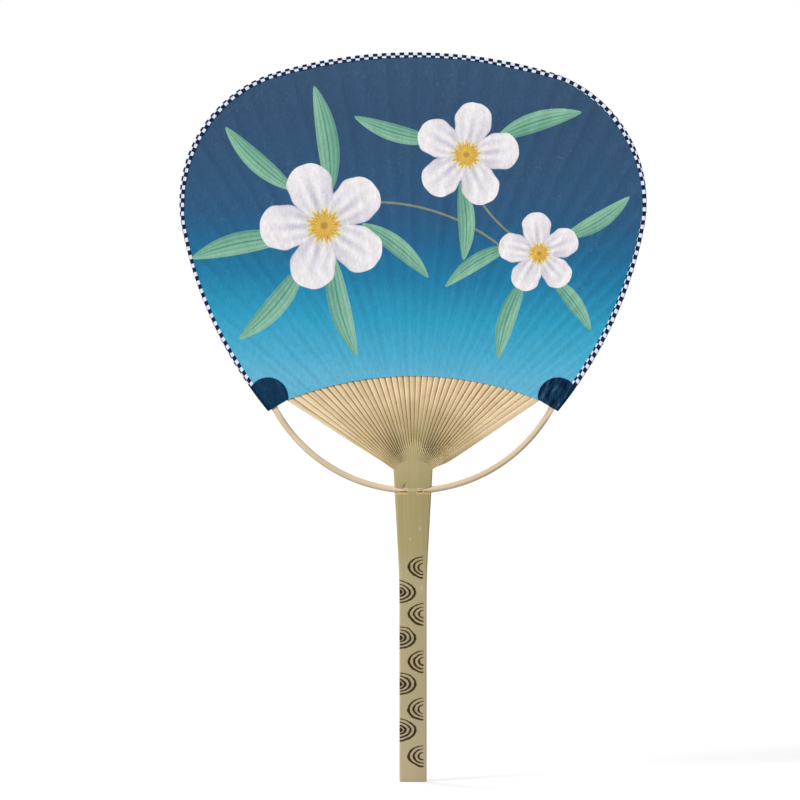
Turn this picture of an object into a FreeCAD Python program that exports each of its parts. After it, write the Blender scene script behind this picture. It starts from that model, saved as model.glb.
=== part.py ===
import FreeCAD, Part
import Sketcher
import math
import os
from dataclasses import dataclass

from FreeCAD import Placement, Rotation, Vector

# Round paper fan on a split bamboo handle, standing upright on the butt of the handle.
# Millimetres. Z runs up the handle, the printed side faces -Y, the origin is the centre of the butt.

DIMENSIONS = (
    # Heights, each from the one before, and the outline of the paper face, edge tape included
    ("handle_length", 152.0, "butt of the handle to the point that all the ribs aim at"),
    ("edge_rise", 53.8, "from there to the middle of the paper's lower edge"),
    ("face_height", 164.2, "from there to the top of the rim"),
    ("fan_width", 237.0, "widest part of the rim"),
    ("rim_top_radius", 247.5, "rim arc over the top"),
    ("rim_shoulder_radius", 69.0, "rim arc round each shoulder"),
    ("rim_side_radius", 211.0, "rim arc down each side"),
    ("corner_inset", 44.2, "lower corner of the paper inside the widest part of the rim"),
    ("edge_radius", 173.6, "arc of the paper's lower edge"),
    # Handle
    ("grip_width", 13.8, "width of the straight grip"),
    ("handle_thickness", 5.6, "flat back to the crown of the skin side"),
    ("crown_radius", 70.0, "curve of the skin across the handle"),
    ("flare_length", 60.0, "start of the flare below the ribs' aiming point"),
    ("flare_radius", 400.0, "bend from the grip into the flare"),
    ("long_edge_round", 0.9, "rounding along the handle"),
    ("butt_bevel", 0.4, "bevel round the butt"),
    ("shoulder_margin", 0.2, "handle beside the outermost rib"),
    ("root_margin", 0.25, "handle behind the rib roots"),
    ("root_fit", 0.01, "rib roots to the handle"),
    # Ribs
    ("rib_count", 39.0, "odd number of ribs"),
    ("outer_rib_inset", 11.8, "outermost rib inside the paper's corner, along the lower edge"),
    ("root_radius", 11.6, "split roots from the ribs' aiming point"),
    ("rib_width", 3.15, "rib across its broad face, below the paper"),
    ("rib_tip_width", 2.3, "rib across its broad face, inside the paper"),
    ("rib_tip_thickness", 0.4, "rib as shaved, inside the paper"),
    ("split_gap", 0.1, "between neighbouring ribs"),
    ("rib_end_gap", 0.4, "rib end to the edge of the paper"),
    # Bow
    ("bow_drop", 4.3, "lowest point of the bow's centre line below the ribs' aiming point"),
    ("bow_inset", 3.44, "bow inside the paper's corner, along the lower edge"),
    ("bow_diameter", 3.2, "round part of the bow"),
    ("bow_cover", 0.07, "skin left over the bore at the crown"),
    ("bow_fit", 0.05, "bow to bore at the closest"),
    ("tip_thickness", 0.4, "bow tip as shaved"),
    ("tip_ramp", 9.0, "length of the shaved slope"),
    ("tip_tuck", 8.5, "bow tip inside the papers"),
    # Papers, thread, tape and ear patches
    ("paper_thickness", 0.15, "each paper"),
    ("paper_fit", 0.035, "thread to paper"),
    ("thread_diameter", 0.3, "binding thread"),
    ("thread_rise", 4.7, "thread above the middle of the paper's lower edge"),
    ("thread_radius", 205.0, "arc of the thread"),
    ("thread_side_gap", 0.12, "thread beyond a rib's edge before it crosses over"),
    ("tape_thickness", 0.15, "edge tape and ear patches"),
    ("tape_fit", 0.03, "tape or patch to paper"),
    ("tape_flap", 2.7, "tape on each face"),
    ("ear_radius", 10.2, "round side of an ear patch"),
    ("ear_rise", 5.8, "centre of that curve above the paper's corner"),
    ("ear_inset", 0.8, "centre of that curve inside the paper's corner"),
    ("ear_drop", 1.25, "point of an ear patch below the paper's corner"),
    ("ear_tape_gap", 0.1, "tape end to ear patch"),
)

# Formulas shared by several features, as the sheet's expressions
EDGE_HEIGHT = "(Dims.handle_length + Dims.edge_rise)"
FACE_PLANE = "(Dims.rib_width - Dims.handle_thickness) / 2"
HALF_GAP = "(Dims.rib_tip_thickness / 2 + Dims.thread_diameter + Dims.paper_fit)"
HALF_SLOT = f"({HALF_GAP} + Dims.paper_thickness + Dims.tape_fit)"
PAPER_INSET = "(Dims.tape_thickness + Dims.tape_fit)"

# Stations along a rib from its root, as multiples of the root's distance from the ribs' aiming point
TWIST_RATIO = 1.173
TWIST_STATIONS = [TWIST_RATIO**step for step in range(9)]
LEVEL_STATION = TWIST_STATIONS[5]  # where a rib has left the curve of the skin
# Stations inside the paper, as multiples of the distance to the paper's lower edge
NARROW_RATIO = 1.025
FLATTEN_RATIO = 1.05
OVERRUN = 1.0  # how far a cutting profile runs past what it cuts

# Places on a sketched arc or line and a sketch's own axes, as constraints count them
START, END, CENTRE = range(1, 4)
LEVEL_AXIS, UPRIGHT_AXIS = range(-1, -3, -1)
ORIGIN = (LEVEL_AXIS, START)


@dataclass(frozen=True)
class Arc:
    """Arc in the XZ plane, with its angles measured clockwise from the upright, in radians."""

    centre_x: float
    centre_z: float
    radius: float
    first: float
    last: float

    def point(self, angle):
        """Return (x, z) on the arc's circle."""
        return (
            self.centre_x + self.radius * math.sin(angle),
            self.centre_z + self.radius * math.cos(angle),
        )

    def angle_of(self, x, z):
        """Return the clockwise angle at which a point lies."""
        return math.atan2(x - self.centre_x, z - self.centre_z)

    def right_x(self, z):
        """Return x on the right of the arc's circle at a height."""
        return self.centre_x + math.sqrt(self.radius**2 - (z - self.centre_z) ** 2)

    def inset(self, depth):
        """Return the concentric arc that lies this much further in."""
        return Arc(self.centre_x, self.centre_z, self.radius - depth, self.first, self.last)

    def spanning(self, first, last):
        """Return the same circle between two other angles."""
        return Arc(self.centre_x, self.centre_z, self.radius, first, last)

    def mirrored(self):
        """Return the arc on the other side of the fan's axis."""
        return Arc(-self.centre_x, self.centre_z, self.radius, -self.last, -self.first)

    def geometry(self):
        """Return the arc as sketch geometry, which runs anticlockwise from its last angle."""
        circle = Part.Circle(Vector(self.centre_x, self.centre_z, 0), Vector(0, 0, 1), self.radius)
        return Part.ArcOfCircle(circle, math.pi / 2 - self.last, math.pi / 2 - self.first)

    def reach(self, x, z, angle):
        """Return the distance from a point, along a direction, to the far side of the arc's circle."""
        offset_x = x - self.centre_x
        offset_z = z - self.centre_z
        along = offset_x * math.sin(angle) + offset_z * math.cos(angle)
        square = along**2 - offset_x**2 - offset_z**2 + self.radius**2
        return math.sqrt(square) - along


def circle_crossing(first, second):
    """Return where two arcs' circles cross, on the right as seen from the first centre to the second."""
    gap_x = second.centre_x - first.centre_x
    gap_z = second.centre_z - first.centre_z
    gap = math.hypot(gap_x, gap_z)
    along = (first.radius**2 - second.radius**2 + gap**2) / (2 * gap)
    across = math.sqrt(first.radius**2 - along**2)
    return (
        first.centre_x + (along * gap_x + across * gap_z) / gap,
        first.centre_z + (along * gap_z - across * gap_x) / gap,
    )


class Layout:
    """Places that follow from the sheet: the rim's arcs, the corners, the ribs' directions."""

    def __init__(self, sheet):
        for alias, _, _ in DIMENSIONS:
            setattr(self, alias, float(sheet.get(alias)))
        self.face_plane = (self.rib_width - self.handle_thickness) / 2
        self.paper_inset = self.tape_thickness + self.tape_fit
        self.apex_height = self.handle_length
        self.edge_height = self.apex_height + self.edge_rise
        self.flare_start = self.apex_height - self.flare_length
        self._lay_out_rim()
        self._lay_out_ribs()
        self._lay_out_ears()
        self._lay_out_bow()

    def _lay_out_rim(self):
        """Work out the rim's tangent arcs on the right side, from the top round to the corner."""
        self.edge = Arc(0, self.edge_height - self.edge_radius, self.edge_radius, 0, 0)
        self.corner = self.on_edge(0)

        top_centre_z = self.edge_height + self.face_height - self.rim_top_radius
        shoulder_x = self.fan_width / 2 - self.rim_shoulder_radius
        top_gap = self.rim_top_radius - self.rim_shoulder_radius
        top_turn = math.asin(shoulder_x / top_gap)
        shoulder_z = top_centre_z + top_gap * math.cos(top_turn)

        # The side arc is tangent inside to the shoulder and passes, inset, through the paper's corner.
        side_gap = self.rim_side_radius - self.rim_shoulder_radius
        centre_x, centre_z = circle_crossing(
            Arc(shoulder_x, shoulder_z, side_gap, 0, 0),
            Arc(*self.corner, self.rim_side_radius - self.paper_inset, 0, 0),
        )
        side_turn = math.atan2(shoulder_x - centre_x, shoulder_z - centre_z)
        self.rim_top = Arc(0, top_centre_z, self.rim_top_radius, -top_turn, top_turn)
        self.rim_shoulder = Arc(shoulder_x, shoulder_z, self.rim_shoulder_radius, top_turn, side_turn)
        self.rim_side = Arc(centre_x, centre_z, self.rim_side_radius, side_turn, math.pi)

    def _lay_out_ribs(self):
        """Spread the ribs evenly along the paper's lower edge, measured square to each rib."""
        per_side = round((self.rib_count - 1) / 2)
        steps = 40 * per_side
        outer_x, outer_z = self.on_edge(self.outer_rib_inset)
        step = math.atan2(outer_x, outer_z - self.apex_height) / steps
        spread = [0.0]
        for index in range(steps):
            spread.append(spread[-1] + step * self.edge_reach((index + 0.5) * step))
        self.rib_pitch = spread[-1] / per_side

        right = [0.0]
        for index in range(steps):
            if spread[index + 1] >= len(right) * self.rib_pitch * (1 - 1e-9):
                right.append((index + 1) * step)
        self.rib_angles = [-angle for angle in reversed(right[1:])] + right

        # The roots lie on a dome round the apex, which ends in a small shoulder beside the outermost ribs.
        root_turn = right[-1] + self.rib_pitch / self.edge_reach(right[-1]) / 2
        self.root = Arc(0, self.apex_height, self.root_radius, -root_turn, root_turn)
        root_end_x, self.root_side_z = self.root.point(root_turn)
        self.root_half_width = root_end_x + self.shoulder_margin

    def _lay_out_ears(self):
        """Find where the ear patches cut the rim and the lower edge."""
        self.ear = Arc(self.corner[0] - self.ear_inset, self.corner[1] + self.ear_rise, self.ear_radius, 0, 0)
        self.ear_rim = circle_crossing(self.ear, self.rim_side)
        self.ear_edge = circle_crossing(self.ear, self.edge)
        point_z = self.corner[1] - self.ear_drop
        self.ear_corner = (self.rim_side.right_x(point_z), point_z)

    def _lay_out_bow(self):
        """Find where the bow runs in under the paper, and the straight bore that its curve passes through."""
        lowest_z = self.apex_height - self.bow_drop
        entry_x, entry_z = self.on_edge(self.bow_inset)
        entry_rise = entry_z - lowest_z
        radius = (entry_x**2 + entry_rise**2) / (2 * entry_rise)
        self.bow = Arc(0, lowest_z + radius, radius, 0, 0)
        self.bow_entry = (entry_x, entry_z)
        self.bow_entry_turn = math.atan2(entry_x, radius - entry_rise)
        bore_rise = radius - math.sqrt(radius**2 - self.root_half_width**2)
        self.bore_radius = self.bow_diameter / 2 + self.bow_fit + bore_rise / 2
        self.bore_height = lowest_z + bore_rise / 2
        self.bow_plane = self.bow_cover + self.bore_radius - self.handle_thickness / 2

    def on_edge(self, inset):
        """Return (x, z) on the paper's lower edge, so far inside its right corner."""
        x = self.fan_width / 2 - self.corner_inset - inset
        return x, self.edge.centre_z + math.sqrt(self.edge_radius**2 - x**2)

    def edge_reach(self, angle):
        """Return the distance from the ribs' apex to the paper's lower edge."""
        return self.edge.reach(0, self.apex_height, angle)

    def rim_reach(self, x, z, angle, inset):
        """Return the distance from a point, along a direction, to the inset rim."""
        if angle < 0:
            return self.rim_reach(-x, z, -angle, inset)
        for arc in (self.rim_top, self.rim_shoulder):
            ring = arc.inset(inset)
            end_x, end_z = ring.point(arc.last)
            if angle <= math.atan2(end_x - x, end_z - z):
                return ring.reach(x, z, angle)
        return self.rim_side.inset(inset).reach(x, z, angle)

    def skin_drop(self, x):
        """Return how far the skin lies behind its crown, this far off the handle's middle."""
        return self.crown_radius - math.sqrt(self.crown_radius**2 - x**2)


class Fan:
    """The document with its sheet, the layout and the finished sub-parts."""

    def __init__(self):
        self.doc = FreeCAD.newDocument("UchiwaFan")
        self.sheet = self._make_sheet()
        self.layout = Layout(self.sheet)
        self.parts = []

    def _make_sheet(self):
        sheet = self.doc.addObject("Spreadsheet::Sheet", "Dims")
        for row, (alias, value, meaning) in enumerate(DIMENSIONS, start=1):
            sheet.set(f"A{row}", meaning)
            sheet.set(f"B{row}", str(value))
            sheet.setAlias(f"B{row}", alias)
        self.doc.recompute()
        return sheet

    def new_body(self, label):
        """Return an empty body that will be written under this label."""
        body = self.doc.addObject("PartDesign::Body", label)
        body.Label = label
        self.parts.append(body)
        return body

    def new_solid(self, label, shape):
        """Return a feature that holds a finished shape."""
        feature = self.doc.addObject("Part::Feature", label)
        feature.Label = label
        feature.Shape = shape
        feature.Placement = Placement()
        self.parts.append(feature)
        return feature

    def origin_plane(self, body, role):
        """Return one of the body's origin planes."""
        return next(item for item in body.Origin.OriginFeatures if item.Role == role)

    def sketch(self, body, name, plane, offset=None):
        """Return a sketch on one of the body's origin planes, with its height bound to an expression."""
        sketch = body.newObject("Sketcher::SketchObject", f"{body.Label}_{name}")
        sketch.AttachmentSupport = (self.origin_plane(body, plane), [""])
        sketch.MapMode = "FlatFace"
        if offset:
            sketch.setExpression("AttachmentOffset.Base.z", offset)
        return sketch

    def feature(self, body, kind, name, profile, **settings):
        """Add a feature to a body, bind what is given as text, and recompute."""
        before = body.Shape.Volume if body.Tip else 0.0
        feature = body.newObject(f"PartDesign::{kind}", f"{body.Label}_{name}")
        feature.Profile = profile
        for key, value in settings.items():
            if key in ("Length", "Angle"):
                feature.setExpression(key, str(value))
            else:
                setattr(feature, key, value)
        self.doc.recompute()
        if abs(body.Shape.Volume - before) < 1e-6:
            raise RuntimeError(f"{feature.Name} changes nothing")
        return feature

    def dress_edges(self, body, kind, name, size, wanted):
        """Round or bevel the edges of a body's tip that the test picks out."""
        base = body.Tip
        picked = [f"Edge{i}" for i, edge in enumerate(base.Shape.Edges, start=1) if wanted(edge)]
        dress = body.newObject(f"PartDesign::{kind}", f"{body.Label}_{name}")
        dress.Base = (base, picked)
        dress.setExpression("Radius" if kind == "Fillet" else "Size", size)
        self.doc.recompute()
        return dress

    def finish(self):
        """Check the document and write every sub-part to its own file."""
        self.doc.recompute()
        for item in self.doc.Objects:
            if "Invalid" in item.State or "Error" in item.State:
                raise RuntimeError(f"{item.Name} failed: {item.State}")
        os.makedirs("parts", exist_ok=True)
        for part in self.parts:
            shape = part.Shape
            if shape.isNull() or not shape.isValid() or not shape.Solids:
                raise RuntimeError(f"{part.Label} has no valid solid")
        for part in self.parts:
            part.Shape.exportStep(os.path.join("parts", f"{part.Label}.step"))


def bind(sketch, constraint, expression):
    """Add a dimension to a sketch and tie it to the sheet."""
    index = sketch.addConstraint(constraint)
    sketch.setExpression(f"Constraints[{index}]", expression)


def line(start, end):
    """Return a straight sketch line between two (x, y) points."""
    return Part.LineSegment(Vector(*start, 0), Vector(*end, 0))


def add_loop(sketch, pieces):
    """Add arcs and lines to a sketch as one closed loop.

    Args:
        sketch: The sketch to draw in.
        pieces: For each piece its geometry, whether the loop runs from its start to its end, and the
            expression of its radius, or None for a line.
    """
    indices = [sketch.addGeometry(geometry) for geometry, _, _ in pieces]
    for here, (geometry, forward, radius) in enumerate(pieces):
        after = (here + 1) % len(pieces)
        leaves = END if forward else START
        enters = START if pieces[after][1] else END
        sketch.addConstraint(Sketcher.Constraint("Coincident", indices[here], leaves, indices[after], enters))
        if radius:
            bind(sketch, Sketcher.Constraint("Radius", indices[here], geometry.Radius), radius)


def add_polygon(sketch, points):
    """Add a closed polygon to a sketch."""
    corners = list(points)
    sides = zip(corners, corners[1:] + corners[:1])
    add_loop(sketch, [(line(start, end), True, None) for start, end in sides])


def draw_face(sketch, layout, inset, inset_expression, drop=0.0):
    """Draw the outline of the fan's face: the rim's five arcs, inset, closed by the lower edge.

    Args:
        sketch: A sketch in an upright plane.
        layout: The fan's layout.
        inset: How far inside the rim the outline runs.
        inset_expression: The same, as the sheet's expression.
        drop: How far below the paper's lower edge the outline ends.
    """
    edge = Arc(0, layout.edge.centre_z - drop, layout.edge_radius, 0, 0)
    side = layout.rim_side.inset(inset)
    corner = circle_crossing(edge, side)
    side = side.spanning(side.first, side.angle_of(*corner))
    shoulder = layout.rim_shoulder.inset(inset)
    half_edge = edge.angle_of(*corner)
    arcs = (
        layout.rim_top.inset(inset),
        shoulder,
        side,
        edge.spanning(-half_edge, half_edge),
        side.mirrored(),
        shoulder.mirrored(),
    )
    top, right_shoulder, right_side, lower, left_side, left_shoulder = [
        sketch.addGeometry(arc.geometry()) for arc in arcs
    ]
    rule = Sketcher.Constraint
    sketch.addConstraint([
        rule("Tangent", top, START, right_shoulder, END),
        rule("Tangent", right_shoulder, START, right_side, END),
        rule("Coincident", right_side, START, lower, START),
        rule("Coincident", lower, END, left_side, END),
        rule("Tangent", left_side, START, left_shoulder, END),
        rule("Tangent", left_shoulder, START, top, END),
        rule("PointOnObject", top, CENTRE, UPRIGHT_AXIS),
        rule("PointOnObject", lower, CENTRE, UPRIGHT_AXIS),
        rule("Symmetric", right_shoulder, CENTRE, left_shoulder, CENTRE, UPRIGHT_AXIS),
        rule("Equal", right_side, left_side),
        rule("DistanceX", *ORIGIN, right_side, START, corner[0]),
        rule("DistanceX", left_side, END, *ORIGIN, corner[0]),
    ])
    for index, arc, alias in ((top, arcs[0], "top"), (right_shoulder, shoulder, "shoulder"), (right_side, side, "side")):
        bind(sketch, rule("Radius", index, arc.radius), f"Dims.rim_{alias}_radius - {inset_expression}")
    bind(sketch, rule("Radius", lower, edge.radius), "Dims.edge_radius")
    bind(
        sketch,
        rule("DistanceY", *ORIGIN, top, CENTRE, layout.rim_top.centre_z),
        f"{EDGE_HEIGHT} + Dims.face_height - Dims.rim_top_radius",
    )
    bind(
        sketch,
        rule("DistanceX", *ORIGIN, right_shoulder, CENTRE, shoulder.centre_x),
        "Dims.fan_width / 2 - Dims.rim_shoulder_radius",
    )
    bind(
        sketch,
        rule("DistanceY", *ORIGIN, lower, CENTRE, edge.centre_z),
        f"{EDGE_HEIGHT} - Dims.edge_radius - {drop}",
    )


def make_handle(fan):
    """Flat bamboo handle: straight grip, flared shoulder, convex skin, cross bore and domed rib root."""
    layout = fan.layout
    body = fan.new_body("handle")
    half_grip = layout.grip_width / 2
    half_thickness = layout.handle_thickness / 2
    top_z = layout.root.centre_z + layout.root.radius + OVERRUN
    cut_x = layout.root_half_width + 2 * OVERRUN

    # The flare is the tangent from the bend at the grip's end to the shoulder's corner.
    bend_x = half_grip + layout.flare_radius
    to_corner_x = layout.root_half_width - bend_x
    to_corner_z = layout.root_side_z - layout.flare_start
    bend_angle = math.atan2(to_corner_z, to_corner_x)
    bend_angle += math.acos(layout.flare_radius / math.hypot(to_corner_x, to_corner_z))
    bend_end_x = bend_x + layout.flare_radius * math.cos(bend_angle)
    bend_end_z = layout.flare_start + layout.flare_radius * math.sin(bend_angle)
    top_x = bend_end_x + (top_z - bend_end_z) * math.tan(math.pi - bend_angle)

    right_circle = Part.Circle(Vector(bend_x, layout.flare_start, 0), Vector(0, 0, 1), layout.flare_radius)
    left_circle = Part.Circle(Vector(-bend_x, layout.flare_start, 0), Vector(0, 0, 1), layout.flare_radius)
    outline = fan.sketch(body, "outline", "XZ_Plane", "-Dims.handle_thickness / 2")
    add_loop(outline, [
        (line((-half_grip, 0), (half_grip, 0)), True, None),
        (line((half_grip, 0), (half_grip, layout.flare_start)), True, None),
        (Part.ArcOfCircle(right_circle, bend_angle, math.pi), False, "Dims.flare_radius"),
        (line((bend_end_x, bend_end_z), (top_x, top_z)), True, None),
        (line((top_x, top_z), (-top_x, top_z)), True, None),
        (line((-top_x, top_z), (-bend_end_x, bend_end_z)), True, None),
        (Part.ArcOfCircle(left_circle, 0, math.pi - bend_angle), False, "Dims.flare_radius"),
        (line((-half_grip, layout.flare_start), (-half_grip, 0)), True, None),
    ])
    fan.feature(body, "Pad", "blank", outline, Length=f"Dims.handle_thickness + {OVERRUN}")

    # The front follows the curve of the bamboo's skin.
    crown_z = layout.crown_radius - half_thickness
    crown_turn = math.asin(cut_x / layout.crown_radius)
    crown_side = crown_z - layout.crown_radius * math.cos(crown_turn)
    front = -half_thickness - 2 * OVERRUN
    crown_circle = Part.Circle(Vector(0, crown_z, 0), Vector(0, 0, 1), layout.crown_radius)
    crown_arc = Part.ArcOfCircle(crown_circle, 1.5 * math.pi - crown_turn, 1.5 * math.pi + crown_turn)
    crown = fan.sketch(body, "crown", "XY_Plane")
    add_loop(crown, [
        (crown_arc, True, "Dims.crown_radius"),
        (line((cut_x, crown_side), (cut_x, front)), True, None),
        (line((cut_x, front), (-cut_x, front)), True, None),
        (line((-cut_x, front), (-cut_x, crown_side)), True, None),
    ])
    fan.feature(body, "Pocket", "skin", crown, Type="ThroughAll", Reversed=True)

    fan.dress_edges(
        body, "Fillet", "long_edges", "Dims.long_edge_round", lambda edge: edge.BoundBox.ZLength > OVERRUN
    )
    fan.dress_edges(body, "Chamfer", "butt", "Dims.butt_bevel", lambda edge: edge.BoundBox.ZMax < OVERRUN / 10)

    # The back is thinned from the bow up to the ribs.
    root_back = layout.rib_width + layout.root_margin - half_thickness
    scoop = fan.sketch(body, "scoop", "YZ_Plane")
    add_polygon(scoop, [
        (half_thickness, layout.bore_height),
        (half_thickness + OVERRUN, layout.bore_height),
        (half_thickness + OVERRUN, top_z + OVERRUN),
        (root_back, top_z + OVERRUN),
        (root_back, layout.root_side_z),
    ])
    fan.feature(body, "Pocket", "thin_back", scoop, Type="ThroughAll", SideType="Symmetric")

    bore = fan.sketch(body, "bore", "YZ_Plane")
    bore_middle = Vector(layout.bow_plane, layout.bore_height, 0)
    bore.addGeometry(Part.Circle(bore_middle, Vector(0, 0, 1), layout.bore_radius))
    fan.feature(body, "Pocket", "bow_bore", bore, Type="ThroughAll", SideType="Symmetric")

    # The ribs split off along a dome.
    end_x, end_z = layout.root.point(layout.root.last)
    root = fan.sketch(body, "root", "XZ_Plane")
    add_loop(root, [
        (layout.root.geometry(), False, "Dims.root_radius"),
        (line((end_x, end_z), (cut_x, end_z)), True, None),
        (line((cut_x, end_z), (cut_x, top_z + OVERRUN)), True, None),
        (line((cut_x, top_z + OVERRUN), (-cut_x, top_z + OVERRUN)), True, None),
        (line((-cut_x, top_z + OVERRUN), (-cut_x, end_z)), True, None),
        (line((-cut_x, end_z), (-end_x, end_z)), True, None),
    ])
    fan.feature(body, "Pocket", "rib_root", root, Type="ThroughAll", SideType="Symmetric")


def make_bow(fan):
    """Round bamboo bow through the handle, its tips shaved flat to lie between the papers."""
    layout = fan.layout
    body = fan.new_body("bow")
    bow = layout.bow
    rod = fan.sketch(body, "rod_section", "YZ_Plane")
    rod.AttachmentOffset = Placement(Vector(0, bow.centre_z, 0), Rotation())
    middle = Vector(layout.bow_plane, -bow.radius, 0)
    ring = rod.addGeometry(Part.Circle(middle, Vector(0, 0, 1), layout.bow_diameter / 2))
    bind(rod, Sketcher.Constraint("Radius", ring, layout.bow_diameter / 2), "Dims.bow_diameter / 2")
    rod.addConstraint(Sketcher.Constraint("DistanceY", ring, CENTRE, *ORIGIN, bow.radius))
    sweep = 2 * math.degrees(layout.bow_entry_turn + layout.tip_tuck / bow.radius)
    fan.feature(body, "Revolution", "rod", rod, ReferenceAxis=(rod, ["H_Axis"]), Angle=sweep, Midplane=True)

    # The tip is shaved on both sides, seen here along the papers and square to the bow.
    shave = fan.sketch(body, "tip_shave", "XY_Plane")
    entry_x, entry_z = layout.bow_entry
    turn = Rotation(Vector(0, 1, 0), -math.degrees(layout.bow_entry_turn))
    shave.AttachmentOffset = Placement(Vector(entry_x, 0, entry_z), turn)
    past_tip = layout.tip_tuck + OVERRUN
    for side in (-1, 1):
        skin = layout.bow_plane + side * layout.bow_diameter / 2
        flat = layout.face_plane + side * layout.tip_thickness / 2
        clear = skin + side * OVERRUN
        add_polygon(
            shave,
            [(-layout.tip_ramp, skin), (0, flat), (past_tip, flat), (past_tip, clear), (-layout.tip_ramp, clear)],
        )
    depth = "Dims.bow_diameter * 2"
    tip = fan.feature(body, "Pocket", "tip", shave, Type="Length", SideType="Symmetric", Length=depth)
    mirror = body.newObject("PartDesign::Mirrored", "bow_other_tip")
    mirror.Originals = [tip]
    mirror.MirrorPlane = (fan.origin_plane(body, "YZ_Plane"), [""])
    body.Tip = mirror
    fan.doc.recompute()


def faceted_loft(sections):
    """Return the solid through four-cornered sections, with its twisted sides broken into flat facets.

    Opposite sides fold along the same diagonal, which keeps the thickness even.
    """
    faces = [Part.Face(Part.makePolygon([*ring, ring[0]])) for ring in (sections[0], sections[-1])]
    for near, far in zip(sections, sections[1:]):
        for here in range(4):
            after = (here + 1) % 4
            start, end = (here, after) if here < 2 else (after, here)
            for corners in ((near[here], near[after], far[end]), (near[start], far[after], far[here])):
                faces.append(Part.Face(Part.makePolygon([*corners, corners[0]])))
    return Part.makeSolid(Part.makeShell(faces)).removeSplitter()


def rib_shape(layout, angle):
    """Return one rib, on edge at the root of the split and turned flat before it runs in under the paper.

    Neighbouring ribs lie face against face, one split gap apart, so a rib leans over further the more
    room it has. The split gives its thickness at the root, and from there it is shaved thinner.

    Args:
        layout: The fan's layout.
        angle: The rib's direction, clockwise from the upright.
    """
    along = Vector(math.sin(angle), 0, math.cos(angle))
    across = Vector(math.cos(angle), 0, -math.sin(angle))
    back = Vector(0, 1, 0)
    edge_distance = layout.edge_reach(angle)
    turn_per_rib = layout.rib_pitch / edge_distance
    root_distance = layout.root_radius + layout.root_fit
    root_thickness = turn_per_rib * root_distance - layout.split_gap
    root_drop = layout.skin_drop(root_distance * math.sin(angle))

    def section(tilt, width, thickness, drop, reach):
        broad = across * math.cos(tilt) + back * math.sin(tilt)
        thick = back * math.cos(tilt) - across * math.sin(tilt)
        corners = []
        for broad_side, thick_side in ((-1, -1), (1, -1), (1, 1), (-1, 1)):
            offset = broad * (broad_side * width / 2) + thick * (thick_side * thickness / 2)
            lateral = offset.dot(across)
            distance = reach(lateral * across.x, layout.apex_height + lateral * across.z)
            corners.append(Vector(0, layout.face_plane + drop, layout.apex_height) + along * distance + offset)
        return corners

    sections = []
    edge_station = edge_distance / root_distance
    for station in (*TWIST_STATIONS, edge_station):
        distance = station * root_distance
        shaved = (station - 1) / (edge_station - 1)
        thickness = root_thickness + shaved * (layout.rib_tip_thickness - root_thickness)
        tilt = math.asin(min(1.0, (thickness + layout.split_gap) / (turn_per_rib * distance)))
        drop = root_drop * max(0.0, (LEVEL_STATION - station) / (LEVEL_STATION - 1))
        sections.append(section(tilt, layout.rib_width, thickness, drop, lambda x, z: distance))
    # Inside the paper it is first narrowed, then turned flat.
    narrow = (tilt, layout.rib_tip_width, layout.rib_tip_thickness, 0)
    sections.append(section(*narrow, lambda x, z: NARROW_RATIO * edge_distance))
    flat = (0, layout.rib_tip_width, layout.rib_tip_thickness, 0)
    sections.append(section(*flat, lambda x, z: FLATTEN_RATIO * edge_distance))
    end_inset = layout.paper_inset + layout.rib_end_gap
    sections.append(section(*flat, lambda x, z: layout.rim_reach(x, z, angle, end_inset)))
    return faceted_loft(sections)


def make_ribs(fan):
    """All the ribs, numbered from the left as the printed side is seen."""
    for number, angle in enumerate(fan.layout.rib_angles, start=1):
        fan.new_solid(f"rib_{number:02d}", rib_shape(fan.layout, angle))


def make_thread(fan):
    """Binding thread, over one rib and under the next, from bow tip to bow tip."""
    layout = fan.layout
    half = layout.thread_diameter / 2
    lift = layout.rib_tip_thickness / 2 + half + layout.paper_fit / 2
    arc_top = layout.edge_height + layout.thread_rise
    arc = Arc(0, arc_top - layout.thread_radius, layout.thread_radius, 0, 0)

    # Each crossing: where it lies on the thread's arc, and half its width along the thread.
    crossings = []
    for angle in layout.rib_angles:
        distance = arc.reach(0, layout.apex_height, angle)
        middle = arc.angle_of(distance * math.sin(angle), layout.apex_height + distance * math.cos(angle))
        half_width = (layout.rib_tip_width / 2 + layout.thread_side_gap) / math.cos(angle - middle)
        crossings.append((middle, half_width))
    tip_middle = arc.angle_of(*circle_crossing(arc, layout.bow))
    tip_half = layout.bow_diameter / 2
    crossings = [(-tip_middle, tip_half), *crossings, (tip_middle, tip_half)]

    sections = []
    for number, (middle, half_width) in enumerate(crossings):
        depth = layout.face_plane + lift * (-1) ** number
        for turn in (-half_width / arc.radius, half_width / arc.radius):
            x, z = arc.point(middle + turn)
            outward = Vector(math.sin(middle + turn), 0, math.cos(middle + turn))
            corners = [
                Vector(x, depth + deep * half, z) + outward * (out * half)
                for deep, out in ((-1, -1), (1, -1), (1, 1), (-1, 1))
            ]
            sections.append(corners)
    fan.new_solid("binding_thread", faceted_loft(sections))


def make_papers(fan):
    """Front and back paper, either side of the flat ribs."""
    for label, height, toward_back in (
        ("front_paper", f"{HALF_GAP} - {FACE_PLANE}", False),
        ("back_paper", f"-{HALF_GAP} - {FACE_PLANE}", True),
    ):
        body = fan.new_body(label)
        outline = fan.sketch(body, "outline", "XZ_Plane", height)
        draw_face(outline, fan.layout, fan.layout.paper_inset, PAPER_INSET)
        fan.feature(body, "Pad", "sheet", outline, Length="Dims.paper_thickness", Reversed=toward_back)


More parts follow.
